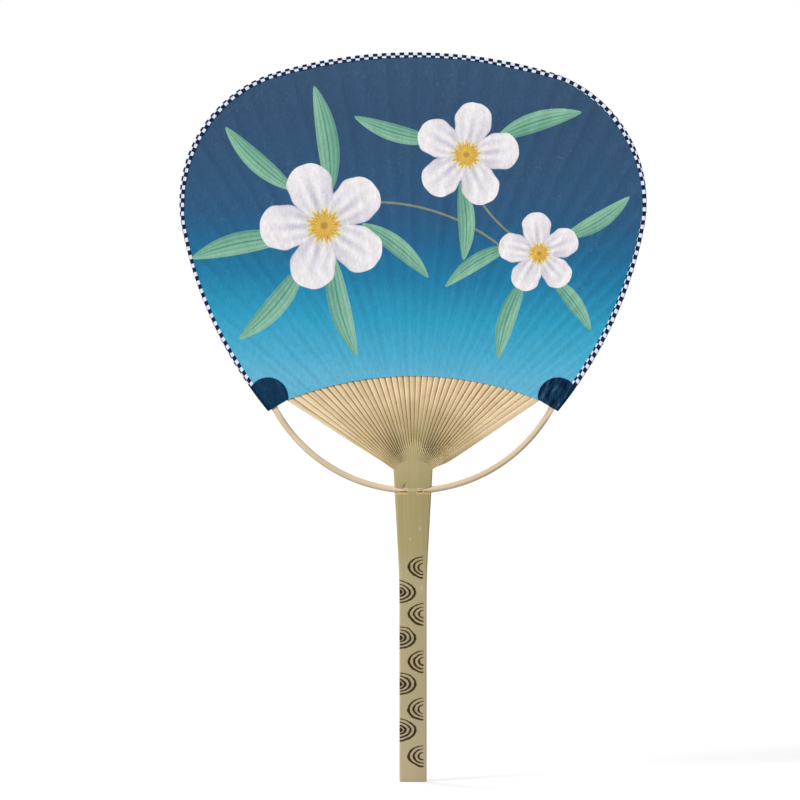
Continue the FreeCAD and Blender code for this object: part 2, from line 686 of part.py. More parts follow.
def fold_over_rim(fan, body, pieces):
    """Make a tape or patch that lies on both faces and is folded round the rim.

    Args:
        fan: The fan.
        body: The body to build in.
        pieces: The outline on the face, out to the rim, as add_loop takes it.
    """
    outline = fan.sketch(body, "outline", "XZ_Plane", f"-{FACE_PLANE}")
    add_loop(outline, pieces)
    thickness = f"2 * ({HALF_SLOT} + Dims.tape_thickness)"
    fan.feature(body, "Pad", "fold", outline, Length=thickness, SideType="Symmetric")
    slot = fan.sketch(body, "slot", "XZ_Plane", f"-{FACE_PLANE}")
    drop = fan.layout.ear_drop + OVERRUN
    draw_face(slot, fan.layout, fan.layout.tape_thickness, "Dims.tape_thickness", drop)
    fan.feature(body, "Pocket", "papers", slot, Length=f"2 * {HALF_SLOT}", SideType="Symmetric")


def make_edge_binding(fan):
    """Checked tape round the rim, from ear patch to ear patch."""
    layout = fan.layout
    clear = layout.ear.inset(-layout.ear_tape_gap)
    outer_end = circle_crossing(clear, layout.rim_side)
    inner_end = circle_crossing(clear, layout.rim_side.inset(layout.tape_flap))
    end = clear.spanning(clear.angle_of(*inner_end), clear.angle_of(*outer_end))

    def half_rim(inset, stop):
        side = layout.rim_side.inset(inset)
        return (
            (side.spanning(side.first, side.angle_of(*stop)), "side"),
            (layout.rim_shoulder.inset(inset), "shoulder"),
        )

    def rim(inset, stop, inset_expression):
        right = half_rim(inset, stop)
        left = [(arc.mirrored(), alias) for arc, alias in reversed(right)]
        run = [*right, (layout.rim_top.inset(inset), "top"), *left]
        return [(arc.geometry(), f"Dims.rim_{alias}_radius - {inset_expression}") for arc, alias in run]

    end_radius = "Dims.ear_radius + Dims.ear_tape_gap"
    pieces = [(geometry, True, radius) for geometry, radius in rim(0, outer_end, "0")]
    pieces.append((end.mirrored().geometry(), False, end_radius))
    inner = rim(layout.tape_flap, inner_end, "Dims.tape_flap")
    pieces += [(geometry, False, radius) for geometry, radius in reversed(inner)]
    pieces.append((end.geometry(), False, end_radius))
    fold_over_rim(fan, fan.new_body("edge_binding"), pieces)


def make_ears(fan):
    """Ear patches folded round the paper's lower corners."""
    layout = fan.layout
    side = layout.rim_side.spanning(
        layout.rim_side.angle_of(*layout.ear_rim), layout.rim_side.angle_of(*layout.ear_corner)
    )
    curve = layout.ear.spanning(layout.ear.angle_of(*layout.ear_edge), layout.ear.angle_of(*layout.ear_rim))
    right = [(side.geometry(), True, "Dims.rim_side_radius"), (curve.geometry(), True, "Dims.ear_radius")]
    right.append((line(layout.ear_edge, layout.ear_corner), True, None))
    left = [
        (curve.mirrored().geometry(), True, "Dims.ear_radius"),
        (side.mirrored().geometry(), True, "Dims.rim_side_radius"),
        (line(*((-x, z) for x, z in (layout.ear_corner, layout.ear_edge))), True, None),
    ]
    for label, pieces in (("right_ear", right), ("left_ear", left)):
        fold_over_rim(fan, fan.new_body(label), pieces)


def main():
    """Build the fan and write its sub-parts."""
    fan = Fan()
    make_handle(fan)
    make_ribs(fan)
    make_bow(fan)
    make_thread(fan)
    make_papers(fan)
    make_edge_binding(fan)
    make_ears(fan)
    fan.finish()


if __name__ == "__main__":
    main()
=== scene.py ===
"""Looks of the round bamboo fan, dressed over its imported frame.

Shapes are worked out in millimetres and turned into metres when a piece is finished. Z runs up the
handle and the printed side faces -Y. Angles in the upright plane run clockwise from the upright.
"""

import logging
import math
from dataclasses import dataclass, field
from enum import Enum
from typing import Any, Callable, Optional, Sequence, Union

import bmesh
import bpy
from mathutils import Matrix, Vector, noise


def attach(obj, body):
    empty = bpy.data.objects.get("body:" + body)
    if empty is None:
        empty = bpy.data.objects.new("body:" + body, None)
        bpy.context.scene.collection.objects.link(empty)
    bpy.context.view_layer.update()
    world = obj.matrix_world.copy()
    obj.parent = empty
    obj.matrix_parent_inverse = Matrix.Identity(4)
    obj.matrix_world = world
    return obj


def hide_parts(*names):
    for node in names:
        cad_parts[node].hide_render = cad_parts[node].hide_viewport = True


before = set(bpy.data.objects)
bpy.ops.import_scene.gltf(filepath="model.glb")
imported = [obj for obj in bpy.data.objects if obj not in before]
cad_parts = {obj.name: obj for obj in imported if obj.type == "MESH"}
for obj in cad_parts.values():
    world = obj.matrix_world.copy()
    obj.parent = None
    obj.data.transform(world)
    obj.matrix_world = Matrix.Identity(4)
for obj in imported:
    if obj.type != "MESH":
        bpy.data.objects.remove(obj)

LOG = logging.getLogger("fan")
BODY = "root"
MM = 0.001
TO_MM = (1 / MM,) * 3

Colour = tuple[float, float, float, float]
Inputs = dict[Union[str, int], Any]
Place = Callable[[float, float], Vector]


def srgb(red: float, green: float, blue: float) -> Colour:
    """Return the linear colour that a shader takes.

    Args:
        red: Red on a screen, from 0 to 255.
        green: Green on a screen.
        blue: Blue on a screen.

    Returns:
        The colour.
    """
    parts = []
    for level in (red / 255, green / 255, blue / 255):
        parts.append(level / 12.92 if level <= 0.04045 else ((level + 0.055) / 1.055) ** 2.4)
    return (*parts, 1.0)


def grey(level: float) -> Colour:
    """Return a grey of this linear level."""
    return (level, level, level, 1.0)


def blend(first: float, second: float, share: float) -> float:
    """Return the value this share of the way from the first to the second."""
    return first + (second - first) * share


def smooth(low: float, high: float, value: float) -> float:
    """Return an eased step from 0 at low to 1 at high; low may be the larger."""
    share = min(1.0, max(0.0, (value - low) / (high - low)))
    return share * share * (3 - 2 * share)


@dataclass(frozen=True)
class Ring:
    """Arc of a circle in the upright plane, in millimetres and radians."""

    x: float
    z: float
    radius: float
    first: float = 0.0
    last: float = 0.0

    def point(self, angle: float, inset: float = 0.0) -> tuple[float, float]:
        """Return (x, z) on the arc, or so far inside it."""
        reach = self.radius - inset
        return self.x + reach * math.sin(angle), self.z + reach * math.cos(angle)

    def reach(self, x: float, z: float, angle: float, inset: float = 0.0) -> float:
        """Return the distance from a point to the circle's far side.

        Args:
            x: The point, across.
            z: The point, upwards.
            angle: Direction from the point.
            inset: How far inside the circle the distance ends.

        Returns:
            The distance.
        """
        off_x = x - self.x
        off_z = z - self.z
        along = off_x * math.sin(angle) + off_z * math.cos(angle)
        root = math.sqrt(max(0.0, along**2 - off_x**2 - off_z**2 + (self.radius - inset) ** 2))
        return root - along


# Measures that several pieces share

APEX = 152.0  # height of the point that the ribs aim at
RIB_WIDTH = 3.15
PAPER_WALL = 0.15
FOLD_HALF = 0.865  # from the middle of the face to the outside of a folded paper
SIDE_RING = Ring(-89.8295, 321.4088, 211.0, 1.76504, 2.24907)
BOW_RING = Ring(0.0, 227.6028, 79.9028)
BOW_ENTRY = 1.0904  # angle on the bow's ring at which it goes under the ears


# Shader expressions


class Field:
    """A value over a surface; Python operators on it add Math nodes."""

    def __init__(self, graph: "NodeGraph", socket: bpy.types.NodeSocket) -> None:
        """Wrap one output socket of a graph's node."""
        self.graph = graph
        self.socket = socket

    def math(self, operation: str, *others: "Operand") -> "Field":
        """Return a Math node's result with this value as its first operand."""
        return self.graph.math(operation, self, *others)

    def __add__(self, other: "Operand") -> "Field":
        """Add."""
        return self.math("ADD", other)

    __radd__ = __add__

    def __sub__(self, other: "Operand") -> "Field":
        """Subtract."""
        return self.math("SUBTRACT", other)

    def __rsub__(self, other: "Operand") -> "Field":
        """Subtract from a number."""
        return self.graph.math("SUBTRACT", other, self)

    def __mul__(self, other: "Operand") -> "Field":
        """Multiply."""
        return self.math("MULTIPLY", other)

    __rmul__ = __mul__

    def __truediv__(self, other: "Operand") -> "Field":
        """Divide."""
        return self.math("DIVIDE", other)

    def __rtruediv__(self, other: "Operand") -> "Field":
        """Divide a number."""
        return self.graph.math("DIVIDE", other, self)

    def __pow__(self, other: "Operand") -> "Field":
        """Raise to a power."""
        return self.math("POWER", other)

    def __abs__(self) -> "Field":
        """Drop the sign."""
        return self.math("ABSOLUTE")

    def least(self, other: "Operand") -> "Field":
        """Return the smaller of two values."""
        return self.math("MINIMUM", other)

    def most(self, other: "Operand") -> "Field":
        """Return the larger of two values."""
        return self.math("MAXIMUM", other)

    def cosine(self) -> "Field":
        """Return the cosine."""
        return self.math("COSINE")

    def sine(self) -> "Field":
        """Return the sine."""
        return self.math("SINE")

    def hypot(self, other: "Field") -> "Field":
        """Return the length of a line that goes this far one way and the other far across it."""
        return (self * self + other * other) ** 0.5

    def wrap(self, high: float, low: float) -> "Field":
        """Return the value brought into a repeating range."""
        return self.math("WRAP", high, low)

    def rise(self, low: float, high: float) -> "Field":
        """Return an eased step.

        Args:
            low: Where it is 0; this may be the larger.
            high: Where it is 1.

        Returns:
            The step.
        """
        inputs: Inputs = {"Value": self, "From Min": low, "From Max": high}
        node = self.graph.node("ShaderNodeMapRange", {"interpolation_type": "SMOOTHSTEP"}, inputs)
        return Field(self.graph, node.outputs[0])

    def between(self, low: float, high: float, soft: float) -> "Field":
        """Return 1 between two values and 0 outside them, eased so far to both sides of each."""
        return self.rise(low - soft, low + soft) * self.rise(high + soft, high - soft)


Operand = Union[Field, float]


class Coordinates(Enum):
    """What a pattern lies on: the object's own space, or the surface as it was unwrapped."""

    OBJECT = "Object"
    SURFACE = "UV"


class NodeGraph:
    """A node tree being wired up."""

    def __init__(self, tree: bpy.types.NodeTree) -> None:
        """Start with an empty tree."""
        self.tree = tree
        self.tree.nodes.clear()

    def node(
        self,
        kind: str,
        settings: Optional[dict[str, Any]] = None,
        inputs: Optional[Inputs] = None,
    ) -> bpy.types.Node:
        """Add a node.

        Args:
            kind: The node's type.
            settings: Its own settings, set first; "stops" fills a colour ramp.
            inputs: Values, fields or sockets for its inputs, by name or number.

        Returns:
            The new node.
        """
        node = self.tree.nodes.new(kind)
        for key, value in (settings or {}).items():
            if key == "stops":
                self._fill_ramp(node.color_ramp, value)
            else:
                setattr(node, key, value)
        self.feed(node, inputs or {})
        return node

    def feed(self, node: bpy.types.Node, inputs: Inputs) -> None:
        """Set or link a node's inputs.

        Args:
            node: The node.
            inputs: Values, fields or sockets, by the input's name or number.
        """
        for key, value in inputs.items():
            source = value.socket if isinstance(value, Field) else value
            if isinstance(source, bpy.types.NodeSocket):
                self.tree.links.new(source, node.inputs[key])
            else:
                node.inputs[key].default_value = source

    @staticmethod
    def _fill_ramp(ramp: bpy.types.ColorRamp, stops: Sequence[tuple[float, Colour]]) -> None:
        """Give a colour ramp its stops.

        Args:
            ramp: The ramp.
            stops: Positions and colours, in rising order.
        """
        while len(ramp.elements) < len(stops):
            ramp.elements.new(0.5)
        for element, (position, colour) in zip(ramp.elements, stops):
            element.position = position
            element.color = colour

    def math(self, operation: str, *operands: Operand) -> Field:
        """Return a Math node's result."""
        node = self.node("ShaderNodeMath", {"operation": operation}, dict(enumerate(operands)))
        return Field(self, node.outputs[0])

    def seen(self) -> Field:
        """Return 1 on the rays that show a surface to the camera.

        Returns:
            The value, which is 1 in mirrors and through glass too.
        """
        path = self.node("ShaderNodeLightPath")
        kinds = ("Camera", "Glossy", "Transmission")
        direct, mirrored, through = (Field(self, path.outputs[f"Is {kind} Ray"]) for kind in kinds)
        return direct.most(mirrored).most(through)


class Shader(NodeGraph):
    """A material being made: one principled surface and the nodes that feed it."""

    def __init__(self, name: str) -> None:
        """Start an empty material with its surface wired to the output.

        Args:
            name: The material's name.
        """
        self.material = bpy.data.materials.new(name)
        self.material.use_nodes = True
        super().__init__(self.material.node_tree)
        self.surface = self.node("ShaderNodeBsdfPrincipled")
        self.node("ShaderNodeOutputMaterial", inputs={"Surface": self.surface.outputs[0]})

    def place(self) -> tuple[Field, ...]:
        """Return where a point lies on the object, as x, y and z in millimetres."""
        return self._split(Coordinates.OBJECT)

    def unwrapped(self) -> tuple[Field, ...]:
        """Return the piece's own two surface coordinates, in millimetres."""
        return self._split(Coordinates.SURFACE)[:2]

    def _split(self, on: Coordinates) -> tuple[Field, ...]:
        """Return each of the coordinates, in millimetres."""
        split = self.node("ShaderNodeSeparateXYZ", inputs={0: self._coordinates(on, TO_MM)})
        return tuple(Field(self, output) for output in split.outputs)

    def _coordinates(self, on: Coordinates, scale: Sequence[float]) -> bpy.types.NodeSocket:
        """Return texture coordinates, scaled."""
        source = self.node("ShaderNodeTexCoord").outputs[on.value]
        return self.node("ShaderNodeMapping", inputs={"Vector": source, "Scale": tuple(scale)}).outputs[0]

    def grain(
        self,
        waves: Sequence[float],
        detail: float = 2.0,
        roughness: float = 0.55,
        on: Coordinates = Coordinates.OBJECT,
    ) -> Field:
        """Return noise from 0 to 1.

        Args:
            waves: Waves per millimetre along each axis.
            detail: Octaves of finer noise.
            roughness: Weight of the finer octaves.
            on: What it lies on.

        Returns:
            The noise.
        """
        vector = self._coordinates(on, [wave / MM for wave in waves])
        inputs: Inputs = {"Vector": vector, "Scale": 1.0, "Detail": detail, "Roughness": roughness}
        return Field(self, self.node("ShaderNodeTexNoise", inputs=inputs).outputs[0])

    def surface_grain(self, first: float, second: float, detail: float) -> Field:
        """Return noise that follows the surface, with these waves per millimetre each way."""
        return self.grain((first, second, 0.0), detail, on=Coordinates.SURFACE)

    def mix(self, first: Any, second: Any, share: Operand, mode: str = "MIX") -> Field:
        """Return a mix of two colours.

        Args:
            first: A colour or a field.
            second: A colour or a field.
            share: How much of the second shows.
            mode: How they are mixed.

        Returns:
            The mixed colour.
        """
        settings = {"data_type": "RGBA", "blend_type": mode, "clamp_factor": True}
        node = self.node("ShaderNodeMix", settings, {0: share, 6: first, 7: second})
        return Field(self, node.outputs[2])

    def ramp(self, value: Field, stops: Sequence[tuple[float, Colour]]) -> Field:
        """Return a colour ramp's colour."""
        node = self.node("ShaderNodeValToRGB", {"stops": stops}, {0: value})
        return Field(self, node.outputs[0])

    def shade(self, colour: Field, level: Field) -> Field:
        """Return a colour made lighter or darker by a factor around 1."""
        factor = self.node("ShaderNodeCombineColor", inputs={0: level, 1: level, 2: level})
        return self.mix(colour, Field(self, factor.outputs[0]), 1.0, "MULTIPLY")

    def finish(
        self,
        colour: Any,
        roughness: Operand,
        height: Optional[Field] = None,
        depth: float = 0.1,
        gloss: float = 0.2,
    ) -> bpy.types.Material:
        """Wire the surface.

        Args:
            colour: Base colour.
            roughness: Roughness.
            height: Relief from 0 to 1, if any.
            depth: Depth of that relief in millimetres.
            gloss: Strength of the mirror-like part, 0.5 for a plain varnish.

        Returns:
            The material.
        """
        inputs: Inputs = {"Base Color": colour, "Roughness": roughness, "Specular IOR Level": gloss}
        if height is not None:
            relief: Inputs = {"Strength": 1.0, "Distance": depth * MM, "Height": height}
            inputs["Normal"] = self.node("ShaderNodeBump", inputs=relief).outputs[0]
        self.feed(self.surface, inputs)
        return self.material


# Finishes


@dataclass(frozen=True)
class ArcRow:
    """A row of burnt arcs up one side of the handle, the lowest one first.

    Arcs with an eye run out at the handle's edge; the others stay open towards it.
    """

    middle: float
    lowest: float
    rise: float
    count: int
    eyed: bool


@dataclass(frozen=True)
class HandleBamboo:
    """Bamboo with its skin on the front, burnt with rows of concentric arcs."""

    skin: Colour = srgb(168, 155, 108)
    skin_dark: Colour = srgb(156, 144, 96)
    skin_pale: Colour = srgb(186, 172, 133)
    cut: Colour = srgb(203, 184, 147)
    cut_dark: Colour = srgb(176, 155, 114)
    # Burnt colour, also used as painted shadow in the open slots beside the bow
    burn_and_shadow: Colour = srgb(40, 24, 4)
    scorch: Colour = srgb(122, 98, 58)
    fresh_cut: Colour = srgb(210, 176, 124)
    bared: Colour = srgb(234, 210, 176)
    foot: Colour = srgb(189, 173, 146)
    skin_depth: float = -1.9
    arc_rows: tuple[ArcRow, ArcRow] = (
        ArcRow(6.1, 13.0, 23.97, 5, False),
        ArcRow(-7.1, 26.4, 23.35, 4, True),
    )
    arc_size: tuple[float, float] = (8.2, 5.4)
    arc_steps: tuple[float, float, float] = (1.0, 0.7, 0.4)
    arc_shake: tuple[float, float] = (1.2, 1.6)
    eye: float = 0.23
    groove: tuple[float, float] = (145.7, 147.0)
    # Open slots beside the bow, darkened with painted shadow
    slots: tuple[tuple[float, float], ...] = ((-6.8, -2.6), (2.2, 4.9), (5.7, 8.4))
    scar_foot: tuple[float, float] = (-5.3, 149.0)
    scar_lean: float = 0.55
    scuffs: tuple[tuple[float, float, float], ...] = (
        (3.6, 128.1, 1.1),
        (-1.5, 123.1, 0.9),
        (4.3, 98.2, 1.6),
    )

    def _arcs(self, shader: Shader, x: Field, z: Field, row: ArcRow) -> Field:
        """Return the burnt arcs of one side.

        Args:
            shader: The material.
            x: Across the handle.
            z: Up the handle.
            row: The arcs.

        Returns:
            How far a point lies outside the burnt lines, as a share of the arcs' size.
        """
        hand = shader.grain((0.16, 0.16, 0.16), 1.0) - 0.5
        local = (z - row.lowest + hand * self.arc_shake[1]).wrap(row.rise / 2, -row.rise / 2)
        across = (x - row.middle + hand * self.arc_shake[0]) / self.arc_size[0]
        radius = across.hypot(local / self.arc_size[1])
        lean = 0.02 if row.eyed else -0.02
        stroke = shader.grain((0.6, 0.4, 0.6), 2.0) * 0.09 - 0.004 + across * lean - local * 0.003
        if row.eyed:
            stroke = stroke + radius.rise(0.8, 0.2) * 0.025
        outer, middle, inner = (abs(radius - step) for step in self.arc_steps)
        gap = outer.least(middle).least(inner) - stroke
        if row.eyed:
            gap = gap.least(radius - self.eye)
        else:
            gap = gap + across.rise(-0.5, 0.1) * 0.022 + across.rise(-0.12, 0.16)
        low = row.lowest - row.rise / 2
        high = low + row.rise * row.count
        return gap + z.rise(low, low - 0.2) + z.rise(high, high + 0.2)

    def _crossing(self, shader: Shader, skin: Field, x: Field, z: Field, uneven: Field) -> Field:
        """Return the skin with the cut lip, painted shadow in the open slots and the scar where the bow goes
        through.

        Args:
            shader: The material.
            skin: The skin's colour.
            x: Across the handle.
            z: Up the handle.
            uneven: How far the knife strayed, in millimetres.

        Returns:
            The colour.
        """
        low, high = self.groove
        strayed = z + uneven
        lip = strayed.rise(low - 0.3, low + 0.2) * strayed.rise(high + 0.6, high + 0.3)
        lip = lip * x.rise(-2.0, -2.9).most(x.rise(1.2, 2.1))
        front = shader.mix(skin, self.fresh_cut, lip * 0.7)
        band = abs(z + uneven * 0.6 - high - 1.0).rise(1.05, 0.6)
        band = band * (abs(x + uneven).rise(2.2, 3.2) * 0.55 + 0.25)
        front = shader.mix(front, self.bared, band)
        # Painted shadow: the open slots beside the bow are darkened where shade falls in them
        for left, right in self.slots:
            slot = x.between(left, right, 0.4) * abs(z - high - 0.15).rise(0.45, 0.15)
            front = shader.mix(front, self.burn_and_shadow, slot * 0.85)
        start, foot = self.scar_foot
        scar = abs(x - start - (z - foot) * self.scar_lean).rise(0.8, 0.4)
        scar = scar * z.rise(foot - 0.4, foot + 0.4) * z.rise(foot + 3.6, foot + 1.0)
        return shader.mix(front, self.scorch, scar * 0.8)

    def material(self) -> bpy.types.Material:
        """Make the handle's finish.

        Returns:
            The material.
        """
        shader = Shader("handle_bamboo")
        x, y, z = shader.place()
        streak = shader.grain((2.2, 0.3, 0.035), 3.0)
        fibre = shader.grain((9.0, 2.0, 0.12), 2.0)
        cloud = shader.grain((0.12, 0.1, 0.03), 2.0)
        skin = shader.mix(self.skin_dark, self.skin_pale, streak.rise(0.25, 0.8))
        skin = shader.mix(skin, self.skin, 0.6)
        skin = shader.mix(skin, self.skin_pale, z.rise(146.0, 162.0) * 0.45)
        skin = shader.shade(skin, 0.93 + cloud * 0.14)
        rubbed = (abs(x) + (cloud - 0.5) * 2.0).rise(5.6, 7.0) * z.rise(120.0, 95.0)
        skin = shader.mix(skin, self.skin_pale, rubbed * 0.55)
        skin = shader.mix(skin, self.cut, rubbed * x.rise(0.0, 1.0) * 0.5)
        right, left = (self._arcs(shader, x, z, row) for row in self.arc_rows)
        outside = right.least(left)
        burnt = outside.rise(0.025, 0.0)
        front = shader.mix(skin, self.foot, z.rise(122.0, 98.0) * 0.38 + z.rise(60.0, 2.0) * 0.24)
        front = shader.mix(front, self.scorch, outside.rise(0.09, 0.0) * 0.4)
        front = shader.mix(front, self.burn_and_shadow, burnt * (0.92 + fibre * 0.08))
        for across, up, size in self.scuffs:
            far = (x - across).hypot((z - up) * 0.6) + (streak - 0.5) * 1.2
            front = shader.mix(front, self.cut, far.rise(size, size * 0.3) * 0.5)
        front = self._crossing(shader, front, x, z, (cloud - 0.5) * 0.8)
        cut = shader.mix(self.cut_dark, self.cut, fibre.rise(0.3, 0.7))
        bundle = shader.grain((3.2, 3.2, 0.02), 0.0).rise(0.62, 0.7) * z.rise(0.6, 0.2)
        cut = shader.mix(cut, self.cut_dark, bundle)
        on_skin = (y + (streak - 0.5) * 0.3).rise(self.skin_depth + 0.15, self.skin_depth - 0.15)
        colour = shader.mix(cut, front, on_skin)
        height = fibre * 0.5 + streak * 0.5 - burnt * 0.5
        return shader.finish(colour, 0.6 - on_skin * 0.16 + burnt * 0.2, height, 0.06, 0.12)


@dataclass(frozen=True)
class SplitBamboo:
    """Pale split bamboo of the ribs, with the skin still showing at their roots and painted light and shade
    across each rib.
    """

    pale: Colour = srgb(236, 210, 168)
    deep: Colour = srgb(214, 186, 142)
    fleck: Colour = srgb(188, 155, 110)
    # Painted highlight colour for each rib's left edge and for the outermost ribs
    edge_highlight: Colour = srgb(250, 230, 194)
    # Painted shadow colour towards each rib's right edge, where its neighbour covers it
    gap_shadow: Colour = srgb(98, 68, 34)
    skin: Colour = srgb(180, 166, 120)
    ripe: Colour = srgb(207, 182, 118)
    skin_reach: tuple[float, float] = (46.0, 17.0)
    run: float = 1000.0  # each rib's surface coordinates start this much after the last one's

    def material(self) -> bpy.types.Material:
        """Make the ribs' finish, which follows each rib's own surface coordinates.

        Returns:
            The material.
        """
        shader = Shader("rib_bamboo")
        x, y, z = shader.place()
        fibre = shader.surface_grain(2.6, 0.045, 3.0)
        fine = shader.surface_grain(7.0, 0.12, 2.0)
        tone = shader.grain((0.16, 0.02, 0.16), 1.0)
        across, length = shader.unwrapped()
        across = across / RIB_WIDTH
        number = (length / self.run).math("FLOOR")
        own = shader.node("ShaderNodeTexWhiteNoise", {"noise_dimensions": "1D"}, {"W": number})
        own = Field(shader, own.outputs["Value"])
        distance = x.hypot(z - APEX)
        outward = abs(x) / distance
        outermost = outward.rise(0.7, 0.84)

        colour = shader.mix(self.deep, self.pale, (fibre * 0.7 + tone * 0.6).rise(0.35, 0.9))
        colour = shader.mix(colour, self.fleck, fine.rise(0.62, 0.75) * 0.35)
        # Painted highlight along the left edge of each rib
        colour = shader.mix(colour, self.edge_highlight, across.rise(0.3, 0.06) * 0.6)
        # Painted light: the outermost ribs, which face away, are made paler
        colour = shader.mix(colour, self.edge_highlight, outermost * 0.3)
        colour = shader.shade(colour, 0.955 + own * 0.12)
        colour = shader.mix(colour, self.ripe, distance.rise(48.0, 34.0) * 0.38)
        near_root = distance + (tone - 0.5) * 8.0 + outward.rise(0.25, 0.85) * 16.0
        near_root = near_root.rise(*self.skin_reach) * y.rise(-0.8, -1.6)
        colour = shader.mix(colour, self.skin, near_root * (0.95 - across * 0.25))

        # Painted shade on the flank ribs near their roots, which also deepens the painted shadow between
        # them
        root_shade = distance.rise(44.0, 20.0) * distance.rise(12.5, 17.0)
        root_shade = root_shade * outward.rise(0.2, 0.45) * outward.rise(0.8, 0.62)
        # Painted shade on the flank ribs, more on the left, and painted light on the upper middle and right
        flank_shade = outward.rise(0.25, 0.5) * distance.rise(58.0, 42.0) * (0.035 + x.rise(4.0, -4.0) * 0.025)
        sunlit = distance.rise(36.0, 46.0) * x.rise(-24.0, -6.0) * 0.08
        colour = shader.shade(colour, 1 - root_shade * 0.06 - flank_shade + sunlit)

        # Painted shadow towards the right edge of each rib, less on the outermost ribs
        depth = 0.48 + fibre * 0.25 + own * 0.14 + root_shade * 0.12
        shadow = (across + root_shade * 0.16).rise(0.57, 0.97) * depth
        merged = outward.rise(0.5, 0.7) * distance.rise(30.0, 15.0)
        shadow = shadow * (1 - outermost * 0.3) * (1 - merged * 0.75)
        colour = shader.mix(colour, self.gap_shadow, shadow)
        return shader.finish(colour, 0.62, fibre * 0.6 + fine * 0.4, 0.03)


@dataclass(frozen=True)
class BowBamboo:
    """Round shaved bamboo of the bow."""

    pale: Colour = srgb(229, 210, 181)
    deep: Colour = srgb(207, 184, 150)
    fleck: Colour = srgb(168, 140, 103)

    def material(self) -> bpy.types.Material:
        """Make the bow's finish, which follows the bow's length, with painted shade on the inner side of its
        right half.

        Returns:
            The material.
        """
        shader = Shader("bow_bamboo")
        x, _, z = shader.place()
        fibre = shader.surface_grain(1.3, 0.02, 3.0)
        patch = shader.surface_grain(0.1, 0.04, 2.0)
        fine = shader.surface_grain(4.5, 0.08, 2.0)
        colour = shader.mix(self.deep, self.pale, (fibre * 0.6 + patch * 0.6).rise(0.3, 0.85))
        colour = shader.mix(colour, self.fleck, fine.rise(0.63, 0.78) * 0.4)
        # Painted shade on the inner side of the bow's right half, to tone down the key light there
        outside = x.hypot(z - BOW_RING.z) - BOW_RING.radius
        colour = shader.shade(colour, 1 - outside.rise(0.1, -1.2) * x.rise(0.0, 30.0) * 0.24)
        return shader.finish(colour, 0.55, fibre * 0.6 + fine * 0.4, 0.05)


def show_through(shader: Shader) -> Field:
    """Return where a rib darkens the paper over it, unevenly.

    Args:
        shader: The paper's material; the paper's surface coordinates count the ribs.

    Returns:
        The mask.
    """
    count, distance = shader.unwrapped()
    beside = abs(count.wrap(0.5, -0.5)) * distance * 0.054
    uneven = shader.surface_grain(0.9, 0.012, 2.0).rise(0.25, 0.75)
    return beside.rise(2.2, 0.6) * uneven


@dataclass(frozen=True)
class Leaf:
    """One slender printed leaf: where its stalk starts, its direction, length, width and bend."""

    x: float
    z: float
    turn: float
    length: float
    width: float
    bend: float


@dataclass(frozen=True)
class Blossom:
    """One printed five-petalled blossom: its middle, radius and turn."""

    x: float
    z: float
    radius: float
    turn: float


@dataclass(frozen=True)
class Stem:
    """One printed stem: an arc of a circle, and the stretch of it that shows."""

    x: float
    z: float
    radius: float
    left: float
    right: float
    upper: bool


